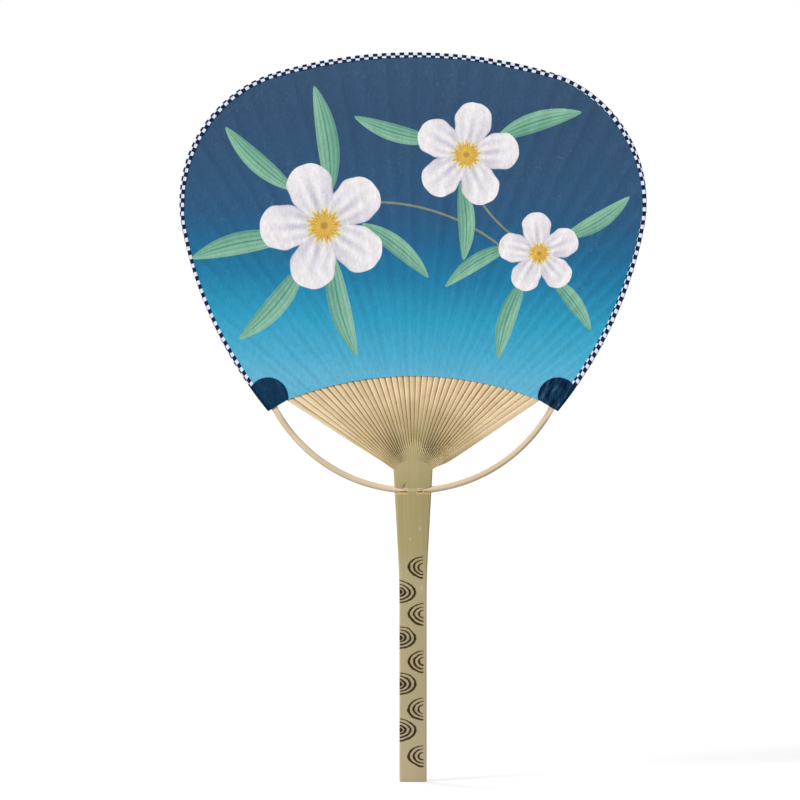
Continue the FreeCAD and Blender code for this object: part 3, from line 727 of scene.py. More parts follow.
@dataclass(frozen=True)
class PrintedPaper:
    """Blue paper, graded from night at the top to clear sky, printed with blossoms and slender leaves."""

    heights: tuple[float, float] = (205.0, 366.0)
    sky: tuple[tuple[float, Colour], ...] = (
        (0.0, srgb(99, 182, 214)),
        (0.07, srgb(76, 174, 207)),
        (0.18, srgb(49, 158, 196)),
        (0.31, srgb(34, 125, 167)),
        (0.41, srgb(36, 105, 146)),
        (0.5, srgb(46, 91, 130)),
        (0.62, srgb(51, 87, 122)),
        (0.82, srgb(53, 82, 113)),
        (1.0, srgb(57, 86, 116)),
    )
    petal: Colour = srgb(241, 237, 239)
    petal_shade: Colour = srgb(191, 184, 205)
    petal_base: Colour = srgb(221, 222, 196)
    pollen: Colour = srgb(226, 184, 84)
    pollen_dark: Colour = srgb(156, 112, 44)
    leaf_pale: Colour = srgb(150, 198, 168)
    leaf_deep: Colour = srgb(78, 142, 122)
    stem: Colour = srgb(132, 138, 116)
    petals: int = 5
    hairs: float = 22.0
    blossoms: tuple[Blossom, ...] = (
        Blossom(-45.0, 282.0, 33.0, 0.35),
        Blossom(27.0, 318.0, 27.0, 1.05),
        Blossom(64.0, 268.0, 21.0, 0.1),
    )
    leaves: tuple[Leaf, ...] = (
        Leaf(-62.0, 276.0, 3.35, 52.0, 0.3, -0.1),
        Leaf(-56.0, 262.0, 4.0, 50.0, 0.3, 0.12),
        Leaf(-41.0, 268.0, 4.95, 54.0, 0.28, -0.1),
        Leaf(-60.0, 300.0, 2.4, 48.0, 0.28, 0.1),
        Leaf(-42.0, 298.0, 1.72, 56.0, 0.27, -0.1),
        Leaf(-26.0, 283.0, 5.6, 44.0, 0.28, 0.12),
        Leaf(42.0, 326.0, 0.3, 46.0, 0.3, 0.1),
        Leaf(12.0, 325.0, 2.85, 44.0, 0.28, 0.1),
        Leaf(24.0, 304.0, 4.75, 40.0, 0.3, 0.12),
        Leaf(76.0, 276.0, 0.55, 40.0, 0.3, -0.12),
        Leaf(70.0, 256.0, 5.35, 34.0, 0.32, 0.1),
        Leaf(56.0, 254.0, 4.4, 42.0, 0.3, -0.1),
        Leaf(50.0, 272.0, 3.7, 40.0, 0.27, -0.12),
    )
    stems: tuple[Stem, ...] = (
        Stem(-20.0, 190.0, 104.0, -40.0, 60.0, True),
        Stem(90.0, 330.0, 66.0, 27.0, 64.0, False),
    )

    @staticmethod
    def _stem(x: Field, z: Field, stem: Stem) -> Field:
        """Return a thin stem's mask.

        Args:
            x: Across the paper.
            z: Up the paper.
            stem: The stem.

        Returns:
            The mask.
        """
        up = z - stem.z
        line = abs((x - stem.x).hypot(up) - stem.radius).rise(0.75, 0.35)
        side = up.rise(-1.0, 1.0) if stem.upper else up.rise(1.0, -1.0)
        return line * side * x.between(stem.left, stem.right, 1.0)

    @staticmethod
    def _leaf(x: Field, z: Field, leaf: Leaf) -> tuple[Field, Field]:
        """Return a leaf's print.

        Args:
            x: Across the paper.
            z: Up the paper.
            leaf: The leaf.

        Returns:
            Its mask, and its tone, which is dark on the veins and along one half.
        """
        cosine = math.cos(leaf.turn) / leaf.length
        sine = math.sin(leaf.turn) / leaf.length
        along = (x - leaf.x) * cosine + (z - leaf.z) * sine
        across = (z - leaf.z) * cosine - (x - leaf.x) * sine
        across = across - along * (1 - along) * leaf.bend * 2.0
        inner = along.most(0.0).least(1.0)
        half = inner**0.75 * (1 - inner) ** 0.85 * leaf.width * 1.08
        ratio = across / (half + 0.002)
        mask = abs(ratio).rise(1.04, 0.94) * along.rise(0.0, 0.01) * along.rise(1.0, 0.97)
        veins = (ratio * 15.0).cosine() ** 3.0 * 0.24
        tone = 0.5 + ratio * 0.26 - veins - abs(ratio).rise(0.1, 0.0) * 0.5 + along * 0.2
        return mask, tone

    def _blossom(self, shader: Shader, paint: Field, x: Field, z: Field, bloom: Blossom) -> Field:
        """Return the print so far with a blossom painted over it.

        Args:
            shader: The material.
            paint: The print so far.
            x: Across the paper.
            z: Up the paper.
            bloom: The blossom.

        Returns:
            The colour.
        """
        right = (x - bloom.x) / bloom.radius
        up = (z - bloom.z) / bloom.radius
        turn = right.math("ARCTAN2", up) + bloom.turn
        radius = right.hypot(up)
        local = turn.wrap(math.pi / self.petals, -math.pi / self.petals)
        inner = (radius * local.cosine()).most(0.0).least(1.0)
        wavy = 1 + (inner * 19.0 + turn * 2.0).sine() * 0.03
        half = inner**0.62 * (1 - inner**3.2) ** 0.55 * wavy * 0.53
        ratio = radius * local.sine() / (half + 0.002)
        beside = abs(ratio)
        mask = beside.rise(1.03, 0.96) * (radius * local.cosine()).rise(1.0, 0.98)
        veins = (ratio * 11.0).cosine() * 0.5 + 0.5
        hollow = beside.rise(0.3, 0.0) * 0.35 + beside.rise(0.75, 1.0) * 0.3 + ratio.rise(0.2, 1.0) * 0.4
        shadow = (veins * inner.rise(0.95, 0.2) * 0.5 + hollow * inner.rise(1.1, 0.35)).least(1.0)
        petal = shader.mix(self.petal, self.petal_shade, shadow)
        petal = shader.mix(petal, self.petal_base, radius.rise(0.42, 0.16) * 0.8)
        spokes = (turn * self.hairs).sine()
        gold = shader.mix(self.pollen, self.pollen_dark, spokes * radius.rise(0.05, 0.2) * 0.7)
        gold = shader.mix(gold, self.pollen_dark, radius.rise(0.08, 0.03) * 0.6)
        tuft = (radius + spokes * 0.04 + (turn * 9.0 + 1.0).sine() * 0.02).rise(0.25, 0.21)
        return shader.mix(shader.mix(paint, petal, mask), gold, tuft)

    def material(self) -> bpy.types.Material:
        """Make the printed paper's finish.

        Returns:
            The material.
        """
        shader = Shader("printed_paper")
        x, _, z = shader.place()
        fibre = shader.grain((0.9, 0.9, 0.35), 4.0, 0.65)
        cloud = shader.grain((0.05, 0.05, 0.05), 2.0)
        low, high = self.heights
        level = (z + x * 0.035 + (cloud - 0.5) * 9.0 + (fibre - 0.5) * 3.0 - low) / (high - low)
        ribs = show_through(shader)
        paint = shader.shade(shader.ramp(level, self.sky), 1 - ribs * 0.07)
        for stem in self.stems:
            paint = shader.mix(paint, self.stem, self._stem(x, z, stem))
        cover: Operand = 0.0
        tone: Operand = 0.5
        for leaf in self.leaves:
            mask, leaf_tone = self._leaf(x, z, leaf)
            tone = mask * leaf_tone + (1 - mask) * tone
            cover = mask.most(cover)
        green = shader.mix(self.leaf_deep, self.leaf_pale, tone + (cloud - 0.5) * 0.5)
        paint = shader.mix(paint, green, cover * 0.94)
        for bloom in self.blossoms:
            paint = self._blossom(shader, paint, x, z, bloom)
        speck = shader.grain((2.2, 2.2, 1.4), 2.0)
        hair = abs(shader.grain((0.3, 0.3, 0.3), 1.0) - 0.5).rise(0.01, 0.0) * cloud.rise(0.4, 0.65)
        paint = shader.mix(paint, self.petal, hair * 0.06)
        paint = shader.shade(paint, (0.58 + fibre * 0.5 + speck * 0.37) * (1 - ribs * 0.06))
        return shader.finish(paint, 0.82, fibre, 0.06, 0.12)


@dataclass(frozen=True)
class PlainPaper:
    """White paper of the back, with long fibres in it and the ribs showing through faintly."""

    white: Colour = srgb(245, 243, 238)
    cream: Colour = srgb(235, 232, 224)

    def material(self) -> bpy.types.Material:
        """Make the back paper's finish.

        Returns:
            The material.
        """
        shader = Shader("plain_paper")
        fibre = shader.grain((0.9, 0.9, 0.3), 4.0, 0.65)
        cloud = shader.grain((0.05, 0.05, 0.05), 2.0)
        colour = shader.mix(self.cream, self.white, (fibre * 0.7 + cloud * 0.5).rise(0.3, 0.75))
        colour = shader.shade(colour, 1 - show_through(shader) * 0.05)
        return shader.finish(colour, 0.85, fibre, 0.05)


@dataclass(frozen=True)
class CheckedTape:
    """White paper tape printed with navy checks."""

    white: Colour = srgb(228, 235, 247)
    navy: Colour = srgb(17, 33, 66)
    check: tuple[float, float] = (2.27, 2.0)
    soft: float = 0.2

    def material(self) -> bpy.types.Material:
        """Make the tape's finish, which follows the tape's length and width.

        Returns:
            The material.
        """
        shader = Shader("edge_tape")
        spread = (shader.surface_grain(1.4, 1.4, 2.0) - 0.5) * 0.22
        checks = zip(shader.unwrapped(), self.check)
        along, across = ((place * (math.pi / size) + spread).sine() for place, size in checks)
        blank = along.rise(0.0, self.soft) * across.rise(0.0, -self.soft)
        blank = blank.most(along.rise(0.0, -self.soft) * across.rise(0.0, self.soft))
        colour = shader.mix(self.navy, self.white, blank)
        fibre = shader.grain((1.2, 1.2, 0.5), 3.0)
        colour = shader.shade(colour, 0.94 + fibre * 0.12)
        return shader.finish(colour, 0.75, fibre, 0.03, 0.08)


@dataclass(frozen=True)
class EarPaper:
    """Dark navy paper of the ear patches."""

    navy: Colour = srgb(16, 54, 84)
    deep: Colour = srgb(2, 22, 46)
    # Pale colour of worn fibres, also used as painted highlight along the creases
    wear_and_highlight: Colour = srgb(70, 92, 116)

    def material(self) -> bpy.types.Material:
        """Make the ear patches' finish, with crease marks of painted shade, and of wear with painted
        highlight, stronger on the right.

        Returns:
            The material.
        """
        shader = Shader("ear_paper")
        x, _, z = shader.place()
        fibre = shader.grain((1.1, 1.1, 0.6), 4.0, 0.65)
        crease = shader.surface_grain(0.11, 0.5, 2.0)
        strength = 0.3 + x.rise(-5.0, 5.0) * 0.7
        # Painted shade on one side of the creases, and wear with painted highlight on the other, stronger on
        # the right
        colour = shader.mix(self.navy, self.deep, crease.rise(0.54, 0.36) * strength)
        colour = shader.mix(colour, self.wear_and_highlight, crease.rise(0.56, 0.72) * strength * 0.9)
        colour = shader.mix(colour, self.wear_and_highlight, fibre.rise(0.56, 0.78) * 0.4)
        inside = SIDE_RING.radius - (abs(x) - SIDE_RING.x).hypot(z - SIDE_RING.z)
        colour = shader.mix(colour, self.deep, (inside + fibre).rise(2.6, 1.0) * 0.8)
        return shader.finish(colour, 0.6, fibre, 0.05, 0.05)


@dataclass(frozen=True)
class CottonThread:
    """Twisted cotton of the binding thread."""

    pale: Colour = srgb(232, 226, 210)
    deep: Colour = srgb(196, 186, 164)

    def material(self) -> bpy.types.Material:
        """Make the thread's finish.

        Returns:
            The material.
        """
        shader = Shader("thread")
        x, _, z = shader.place()
        twist = ((x * 0.9 + z * 0.9) * 8.0).sine() * 0.5 + 0.5
        return shader.finish(shader.mix(self.deep, self.pale, twist), 0.85, twist, 0.03)


# Shapes


@dataclass(frozen=True)
class FaceOutline:
    """Outline of the paper face: the rim's arcs on the right side and the lower edge."""

    plane: float = -1.225
    edge: Ring = Ring(0.0, 32.2, 173.6)
    top: Ring = Ring(0.0, 122.5, 247.5, 0.0, 0.28099)
    shoulder: Ring = Ring(49.5, 293.999, 69.0, 0.28099, 1.76504)
    side: Ring = SIDE_RING
    corner: tuple[float, float] = (74.3, 189.0964)

    def corner_turn(self) -> float:
        """Return the direction of the paper's right corner from the ribs' aiming point."""
        return math.atan2(self.corner[0], self.corner[1] - APEX)

    def edge_reach(self, turn: float) -> float:
        """Return the distance from the ribs' aiming point to the paper's lower edge."""
        return self.edge.reach(0.0, APEX, turn)

    def rim_reach(self, turn: float, inset: float) -> float:
        """Return the distance from the ribs' aiming point to the rim.

        Args:
            turn: Direction.
            inset: How far inside the rim the distance ends.

        Returns:
            The distance.
        """
        turn = abs(turn)
        for ring in (self.top, self.shoulder):
            end_x, end_z = ring.point(ring.last, inset)
            if turn <= math.atan2(end_x, end_z - APEX):
                return ring.reach(0.0, APEX, turn, inset)
        return self.side.reach(0.0, APEX, turn, inset)

    def rim_point(self, share: float, inset: float, ends: tuple[float, float]) -> tuple[float, float, float]:
        """Return a point on the rim.

        Args:
            share: From 0 at the left end to 1 at the right end.
            inset: How far inside the rim.
            ends: Where the run ends on the side arc, and how that changes with the inset.

        Returns:
            (x, z) and the length along the rim from its top.
        """
        rings = (self.top, self.shoulder, self.side)
        lasts = (self.top.last, self.shoulder.last, ends[0])
        spans = [ring.radius * (last - ring.first) for ring, last in zip(rings, lasts)]
        hand = 1 if share >= 0.5 else -1
        walked = along = abs(share - 0.5) * 2 * sum(spans)
        for ring, last, span in zip(rings, lasts, spans):
            if along <= span or ring is self.side:
                break
            along -= span
        if ring is self.side:
            last += ends[1] * inset
        x, z = ring.point(blend(ring.first, last, min(1.0, along / span)), inset)
        return hand * x, z, hand * walked


class Side(Enum):
    """The two faces of the fan, by the way that they look along Y."""

    FRONT = -1
    BACK = 1


class Hand(Enum):
    """The two ends of the rim, by the way that they lie along X."""

    LEFT = -1
    RIGHT = 1


def shaped_grid(columns: int, rows: int, place: Place, unwrap: Place) -> bmesh.types.BMesh:
    """Return a grid moved into a shape.

    Args:
        columns: Cells along the first direction.
        rows: Cells along the second direction.
        place: Gives each grid point, from 0 to 1 both ways, its place in millimetres.
        unwrap: Gives each grid point its surface coordinates in millimetres.

    Returns:
        The shape, with doubled points merged.
    """
    mesh = bmesh.new()
    layer = mesh.loops.layers.uv.new("UVMap")
    bmesh.ops.create_grid(mesh, x_segments=columns, y_segments=rows, size=0.5)
    for face in mesh.faces:
        for loop in face.loops:
            loop[layer].uv = (unwrap(loop.vert.co.x + 0.5, loop.vert.co.y + 0.5) * MM).to_2d()
    for vert in mesh.verts:
        vert.co = place(vert.co.x + 0.5, vert.co.y + 0.5)
    bmesh.ops.remove_doubles(mesh, verts=mesh.verts, dist=1e-3)
    bmesh.ops.recalc_face_normals(mesh, faces=mesh.faces)
    return mesh


def close_ends(mesh: bmesh.types.BMesh) -> None:
    """Close the open ends of a tube and turn its faces outwards.

    Args:
        mesh: The tube.
    """
    rim = [edge for edge in mesh.edges if edge.is_boundary]
    bmesh.ops.holes_fill(mesh, edges=rim, sides=0)
    bmesh.ops.recalc_face_normals(mesh, faces=mesh.faces)


def face_away(mesh: bmesh.types.BMesh, plane: float) -> None:
    """Turn an open sheet round if its first face looks back at an upright plane.

    Args:
        mesh: The sheet.
        plane: Where the plane stands along Y.
    """
    mesh.faces.ensure_lookup_table()
    mesh.normal_update()
    first = mesh.faces[0]
    if first.normal.y * (first.calc_center_median().y - plane) < 0:
        bmesh.ops.reverse_faces(mesh, faces=mesh.faces)


def add_object(name: str, data: bpy.types.ID) -> bpy.types.Object:
    """Add an object to the scene.

    Args:
        name: Its name.
        data: Its mesh, light or camera.

    Returns:
        The object.
    """
    item = bpy.data.objects.new(name, data)
    bpy.context.scene.collection.objects.link(item)
    return item


def add_mesh(name: str, mesh: bmesh.types.BMesh, material: bpy.types.Material) -> bpy.types.Object:
    """Add a shape to the scene.

    Args:
        name: Its name.
        mesh: The shape, in metres, which is freed.
        material: Its finish.

    Returns:
        The object.
    """
    data = bpy.data.meshes.new(name)
    mesh.to_mesh(data)
    mesh.free()
    data.materials.append(material)
    return add_object(name, data)


def finish_piece(
    mesh: bmesh.types.BMesh,
    name: str,
    node: str,
    slot: str,
    material: bpy.types.Material,
    wall: float = 0.0,
    crease: float = 40.0,
) -> bpy.types.Object:
    """Turn a shape into a piece of the fan that stands for a node of the frame.

    Args:
        mesh: The shape in millimetres.
        name: Name of the piece.
        node: The node that it replaces.
        slot: The record's material slot; not used.
        material: Its finish.
        wall: Thickness that a sheet gets behind its outer side, in millimetres.
        crease: Angle in degrees from which an edge stays sharp.

    Returns:
        The piece.
    """
    bmesh.ops.scale(mesh, vec=(MM, MM, MM), verts=mesh.verts)
    for face in mesh.faces:
        face.smooth = True
    for edge in mesh.edges:
        edge.smooth = len(edge.link_faces) == 2 and edge.calc_face_angle(0.0) < math.radians(crease)
    piece = add_mesh(name, mesh, material)
    if wall:
        solidify = piece.modifiers.new("wall", "SOLIDIFY")
        solidify.thickness = wall * MM
        solidify.offset = -1.0
    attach(piece, BODY)
    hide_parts(node)
    LOG.info("%s stands for %s", name, node)
    return piece


# Sub-assemblies


@dataclass
class RibFan:
    """The ribs: on edge at the root of the split and turned flat under the paper."""

    outline: FaceOutline
    per_side: int = 19
    pitch: float = 3.1104
    root: float = 11.61
    tip_width: float = 2.3
    tip_thickness: float = 0.4
    split_gap: float = 0.1
    closed_stations: tuple[float, float] = (1.4, 0.97)
    flank_delay: float = 0.2
    opening: float = 1.3
    overlap: float = 0.01
    level_station: float = 2.2207
    crown: float = 70.0
    end_inset: float = 0.58
    seat: float = 0.3
    seat_slack: float = 0.12
    crowning: float = 0.6
    straight_turns: tuple[float, float] = (1.15, 0.7)
    bare_view: float = 1.4
    view_change: float = 0.22
    bare_rows: int = 34
    turning_ratios: tuple[float, ...] = (1.006, 1.012, 1.018, 1.025, 1.035, 1.043, 1.051)
    flat_rows: int = 8
    front_points: tuple[float, ...] = (-1.0, -0.94, -0.82, -0.55, 0.0, 0.55, 0.82, 0.94, 1.0)
    turns: list[float] = field(init=False)

    def __post_init__(self) -> None:
        """Spread the ribs evenly along the paper's lower edge."""
        right = [0.0]
        for _ in range(self.per_side):
            half = right[-1] + self.pitch / self.outline.edge_reach(right[-1]) / 2
            right.append(right[-1] + self.pitch / self.outline.edge_reach(half))
        self.turns = [-turn for turn in reversed(right[1:])] + right

    def spacing(self, turn: float, distance: float) -> tuple[float, float]:
        """Return how a point lies between the ribs.

        Args:
            turn: The point's direction.
            distance: Its distance from the aiming point.

        Returns:
            How far it lies beside the nearest rib, and half the way to that rib's neighbour.
        """
        nearest = min(self.turns, key=lambda rib: abs(rib - turn))
        half = self.pitch / self.outline.edge_reach(nearest) / 2
        return abs(turn - nearest) * distance, half * distance

    def count(self, turn: float) -> float:
        """Return how many ribs lie from the middle to a direction.

        Args:
            turn: The direction.

        Returns:
            The number, with the part of the next one.
        """
        for number, (here, after) in enumerate(zip(self.turns, self.turns[1:])):
            if turn < after:
                break
        return number + (turn - here) / (after - here) - self.per_side

    def _section(self, turn: float, distance: float) -> tuple[float, float, float, float]:
        """Return a rib's section.

        Args:
            turn: The rib's direction.
            distance: Distance from the aiming point.

        Returns:
            Tilt, width, thickness and setback.
        """
        edge = self.outline.edge_reach(turn)
        per_rib = self.pitch / edge
        station = distance / self.root
        thick = per_rib * self.root - self.split_gap
        shaved = min(1.0, (station - 1) / (edge / self.root - 1))
        outward = abs(turn)
        closed = blend(*self.closed_stations, smooth(0.1, 0.5, outward))
        closed += self.flank_delay * smooth(0.6, 0.95, outward)
        opened = smooth(closed, closed + self.opening, station)
        gap = blend(-self.overlap, self.split_gap, opened)
        full = per_rib * self.root * min(station, closed + 0.3) - gap
        thickness = blend(full, blend(thick, self.tip_thickness, shaved), opened)
        tilt = math.asin(min(1.0, (thickness + gap) / (per_rib * min(distance, edge))))
        inside = distance / edge
        tilt *= 1 - smooth(1.02, 1.05, inside)
        width = blend(RIB_WIDTH, self.tip_width, smooth(1.0, 1.025, inside))
        if station < 1:
            width -= self.seat_slack
        across = self.root * math.sin(turn)
        drop = self.crown - math.sqrt(self.crown**2 - across**2)
        drop *= max(0.0, (self.level_station - station) / (self.level_station - 1))
        return tilt, width, thickness, drop

    def _section_loop(self, turn: float, distance: float) -> list[tuple[float, float]]:
        """Return the points round a rib's section.

        Args:
            turn: The rib's direction.
            distance: Distance from the aiming point.

        Returns:
            The points, as shares of half the rib's width and half its thickness.
        """
        split = smooth(0.1, 0.6, abs(turn)) * smooth(4.0, 2.0, distance / self.root)
        loop = [(side, -1.0) for side in self.front_points]
        loop += [(1.0, -0.85), (1.0, 0.7), (0.95, 1.0)]
        return loop + [(-blend(0.95, 0.75, split), 1.0), (-1.0, blend(0.7, 0.1, split))]

    def _front_edge(self, turn: float, distance: float) -> float:
        """Return how far a rib's front edge lies left of its middle."""
        tilt, width, thickness, _ = self._section(turn, distance)
        return (width * math.cos(tilt) + thickness * math.sin(tilt)) / 2

    def _straighten(self, turn: float, distance: float) -> float:
        """Return the shift that keeps a rib's front edge straight, less of it towards the right end.

        Args:
            turn: The rib's direction.
            distance: Distance from the aiming point.

        Returns:
            The shift to the right.
        """
        edge = self.outline.edge_reach(turn)
        share = (distance - self.root) / (edge - self.root)
        if not 0 < share < 1:
            return 0.0
        line = blend(self._front_edge(turn, self.root), self._front_edge(turn, edge), share)
        return (self._front_edge(turn, distance) - line) * smooth(*self.straight_turns, turn)

    def _in_view(self, turn: float, distance: float) -> float:
        """Return the share of a rib's broad face that its neighbour leaves in view.

        Args:
            turn: The rib's direction.
            distance: Distance from the aiming point.

        Returns:
            The share.
        """
        tilt, width, thickness, _ = self._section(turn, distance)
        edge = self.outline.edge_reach(turn)
        bare = self.pitch / edge * min(distance, edge) - thickness * math.sin(tilt)
        return min(1.0, max(0.04, bare / max(0.05, math.cos(tilt)) / width))

    def _stations(self, turn: float) -> list[float]:
        """Return the distances from the aiming point at which a rib has a section.

        Args:
            turn: The rib's direction.

        Returns:
            The distances.
        """
        edge = self.outline.edge_reach(turn)
        end = self.outline.rim_reach(turn, self.end_inset)
        flat = edge * self.turning_ratios[-1]
        stations = [self.root - self.seat]
        shares = [step / self.bare_rows for step in range(self.bare_rows + 1)]
        stations += [self.root * (edge / self.root) ** share for share in shares]
        stations += [edge * ratio for ratio in self.turning_ratios]
        return stations + [blend(flat, end, step / self.flat_rows) for step in range(1, self.flat_rows + 1)]

    def _shape(self, number: int, turn: float) -> bmesh.types.BMesh:
        """Return one rib.

        Args:
            number: Its number from the left.
            turn: Its direction.

        Returns:
            The shape.
        """
        stations = self._stations(turn)
        around = Vector((math.cos(turn), 0.0, -math.sin(turn)))
        along = Vector((math.sin(turn), 0.0, math.cos(turn)))
        back = Vector((0.0, 1.0, 0.0))
        rows = len(stations) - 1
        columns = len(self._section_loop(turn, self.root))

        def spot(u: float, v: float) -> tuple[float, float, float]:
            """Return a grid point's distance, and its shares of half the width and half the thickness."""
            distance = stations[round(v * rows)]
            return distance, *self._section_loop(turn, distance)[round(u * columns) % columns]

        def place(u: float, v: float) -> Vector:
            """Return where a grid point lies.

            Args:
                u: Share of the way round the section.
                v: Share of the sections up the rib.

            Returns:
                The place.
            """
            distance, side, face = spot(u, v)
            tilt, width, thickness, drop = self._section(turn, distance)
            if face < 0:
                face += self.crowning * smooth(1.1, 2.6, distance / self.root) * abs(side) ** 3
            broad = around * math.cos(tilt) + back * math.sin(tilt)
            thick = back * math.cos(tilt) - around * math.sin(tilt)
            base = Vector((0.0, self.outline.plane + drop, APEX))
            base += around * self._straighten(turn, distance)
            return base + along * distance + broad * (side * width / 2) + thick * (face * thickness / 2)

        def unwrap(u: float, v: float) -> Vector:
            """Return a grid point's surface coordinates.

            Args:
                u: Share of the way round the section.
                v: Share of the sections up the rib.

            Returns:
                Its place across what shows of the rib's face, and up the rib.
            """
            distance, side, face = spot(u, v)
            behind = face > 0.5 and side > -1 or side == 1 and face > -0.9
            across = (1 - side if behind else 1 + side) * RIB_WIDTH / 2
            bare = turn == self.turns[0] if behind else turn == self.turns[-1]
            in_view = self.bare_view if bare else self._in_view(turn, distance)
            in_view *= 1 + self.view_change * noise.noise(Vector((number * 5.3, distance * 0.02, 2.0)))
            return Vector((across / in_view, distance + SplitBamboo.run * number, 0.0))

        mesh = shaped_grid(columns, rows, place, unwrap)
        close_ends(mesh)
        return mesh

    def build(self) -> None:
        """Make every rib."""
        material = SplitBamboo().material()
        for number, turn in enumerate(self.turns, start=1):
            node = f"rib_{number:02d}"
            shape = self._shape(number, turn)
            finish_piece(shape, f"split_{node}", node, "rib_bamboo", material, crease=30.0)


@dataclass
class PaperFace:
    """The two papers pasted over the ribs, sunk a little between them."""

    outline: FaceOutline
    ribs: RibFan
    inset: float = 0.18
    half_gap: float = 0.535
    sag_per_gap: float = 0.05
    sag_change: float = 0.9
    cockle: float = 0.16
    taut: tuple[float, float] = (6.0, 22.0)
    deepest: float = 0.4
    columns: int = 520
    rows: int = 64

    def _relief(self, turn: float, distance: float) -> float:
        """Return how far the paper lies below its highest level.

        Args:
            turn: Direction from the ribs' aiming point.
            distance: Distance from it.

        Returns:
            The depth.
        """
        beside, half = self.ribs.spacing(turn, distance)
        on_rib = self.ribs.tip_width / 2
        half = max(half, on_rib + 0.2)
        sunk = smooth(on_rib * 0.7, half, beside) * (half - on_rib) * 2 * self.sag_per_gap
        x = distance * math.sin(turn)
        z = APEX + distance * math.cos(turn)
        wave = noise.noise(Vector((x * 0.035, z * 0.02, 3.0))) * 0.5 + 0.5
        sunk *= 1 + self.sag_change * noise.noise(Vector((turn * 24.0, distance * 0.012, 8.0)))
        depth = (sunk + wave * self.cockle) * smooth(*self.taut, distance - self.outline.edge_reach(turn))
        return self.deepest * (1 - math.exp(-depth / self.deepest))

    def _polar(self, u: float, v: float) -> tuple[float, float]:
        """Return a point's direction and distance from the ribs' aiming point.

        Args:
            u: Share of the way from the left corner to the right one.
            v: Share of the way from the lower edge to the rim.

        Returns:
            Direction and distance.
        """
        limit = self.outline.corner_turn()
        turn = blend(-limit, limit, u)
        near = self.outline.edge_reach(turn)
        far = max(near, self.outline.rim_reach(turn, self.inset))
        return turn, blend(near, far, v)

    def _sheet(self, side: Side) -> bmesh.types.BMesh:
        """Return one paper's outer side.

        Args:
            side: Which paper.

        Returns:
            The shape.
        """
        level = self.outline.plane + side.value * (self.half_gap + PAPER_WALL)

        def place(u: float, v: float) -> Vector:
            """Return where a grid point lies.

            Args:
                u: Share of the way from the left corner to the right one.
                v: Share of the way from the lower edge to the rim.

            Returns:
                The place.
            """
            turn, distance = self._polar(u, v)
            depth = level - side.value * self._relief(turn, distance)
            return Vector((distance * math.sin(turn), depth, APEX + distance * math.cos(turn)))

        def unwrap(u: float, v: float) -> Vector:
            """Return a grid point's count of ribs and its distance from their aiming point."""
            turn, distance = self._polar(u, v)
            return Vector((self.ribs.count(turn), distance, 0.0))

        mesh = shaped_grid(self.columns, self.rows, place, unwrap)
        face_away(mesh, self.outline.plane)
        return mesh

    def build(self) -> None:
        """Make both papers."""
        for side, name, node, slot, finish in (
            (Side.FRONT, "printed_sheet", "front_paper", "printed_paper", PrintedPaper()),
            (Side.BACK, "plain_sheet", "back_paper", "plain_paper", PlainPaper()),
        ):
            finish_piece(self._sheet(side), name, node, slot, finish.material(), wall=PAPER_WALL)


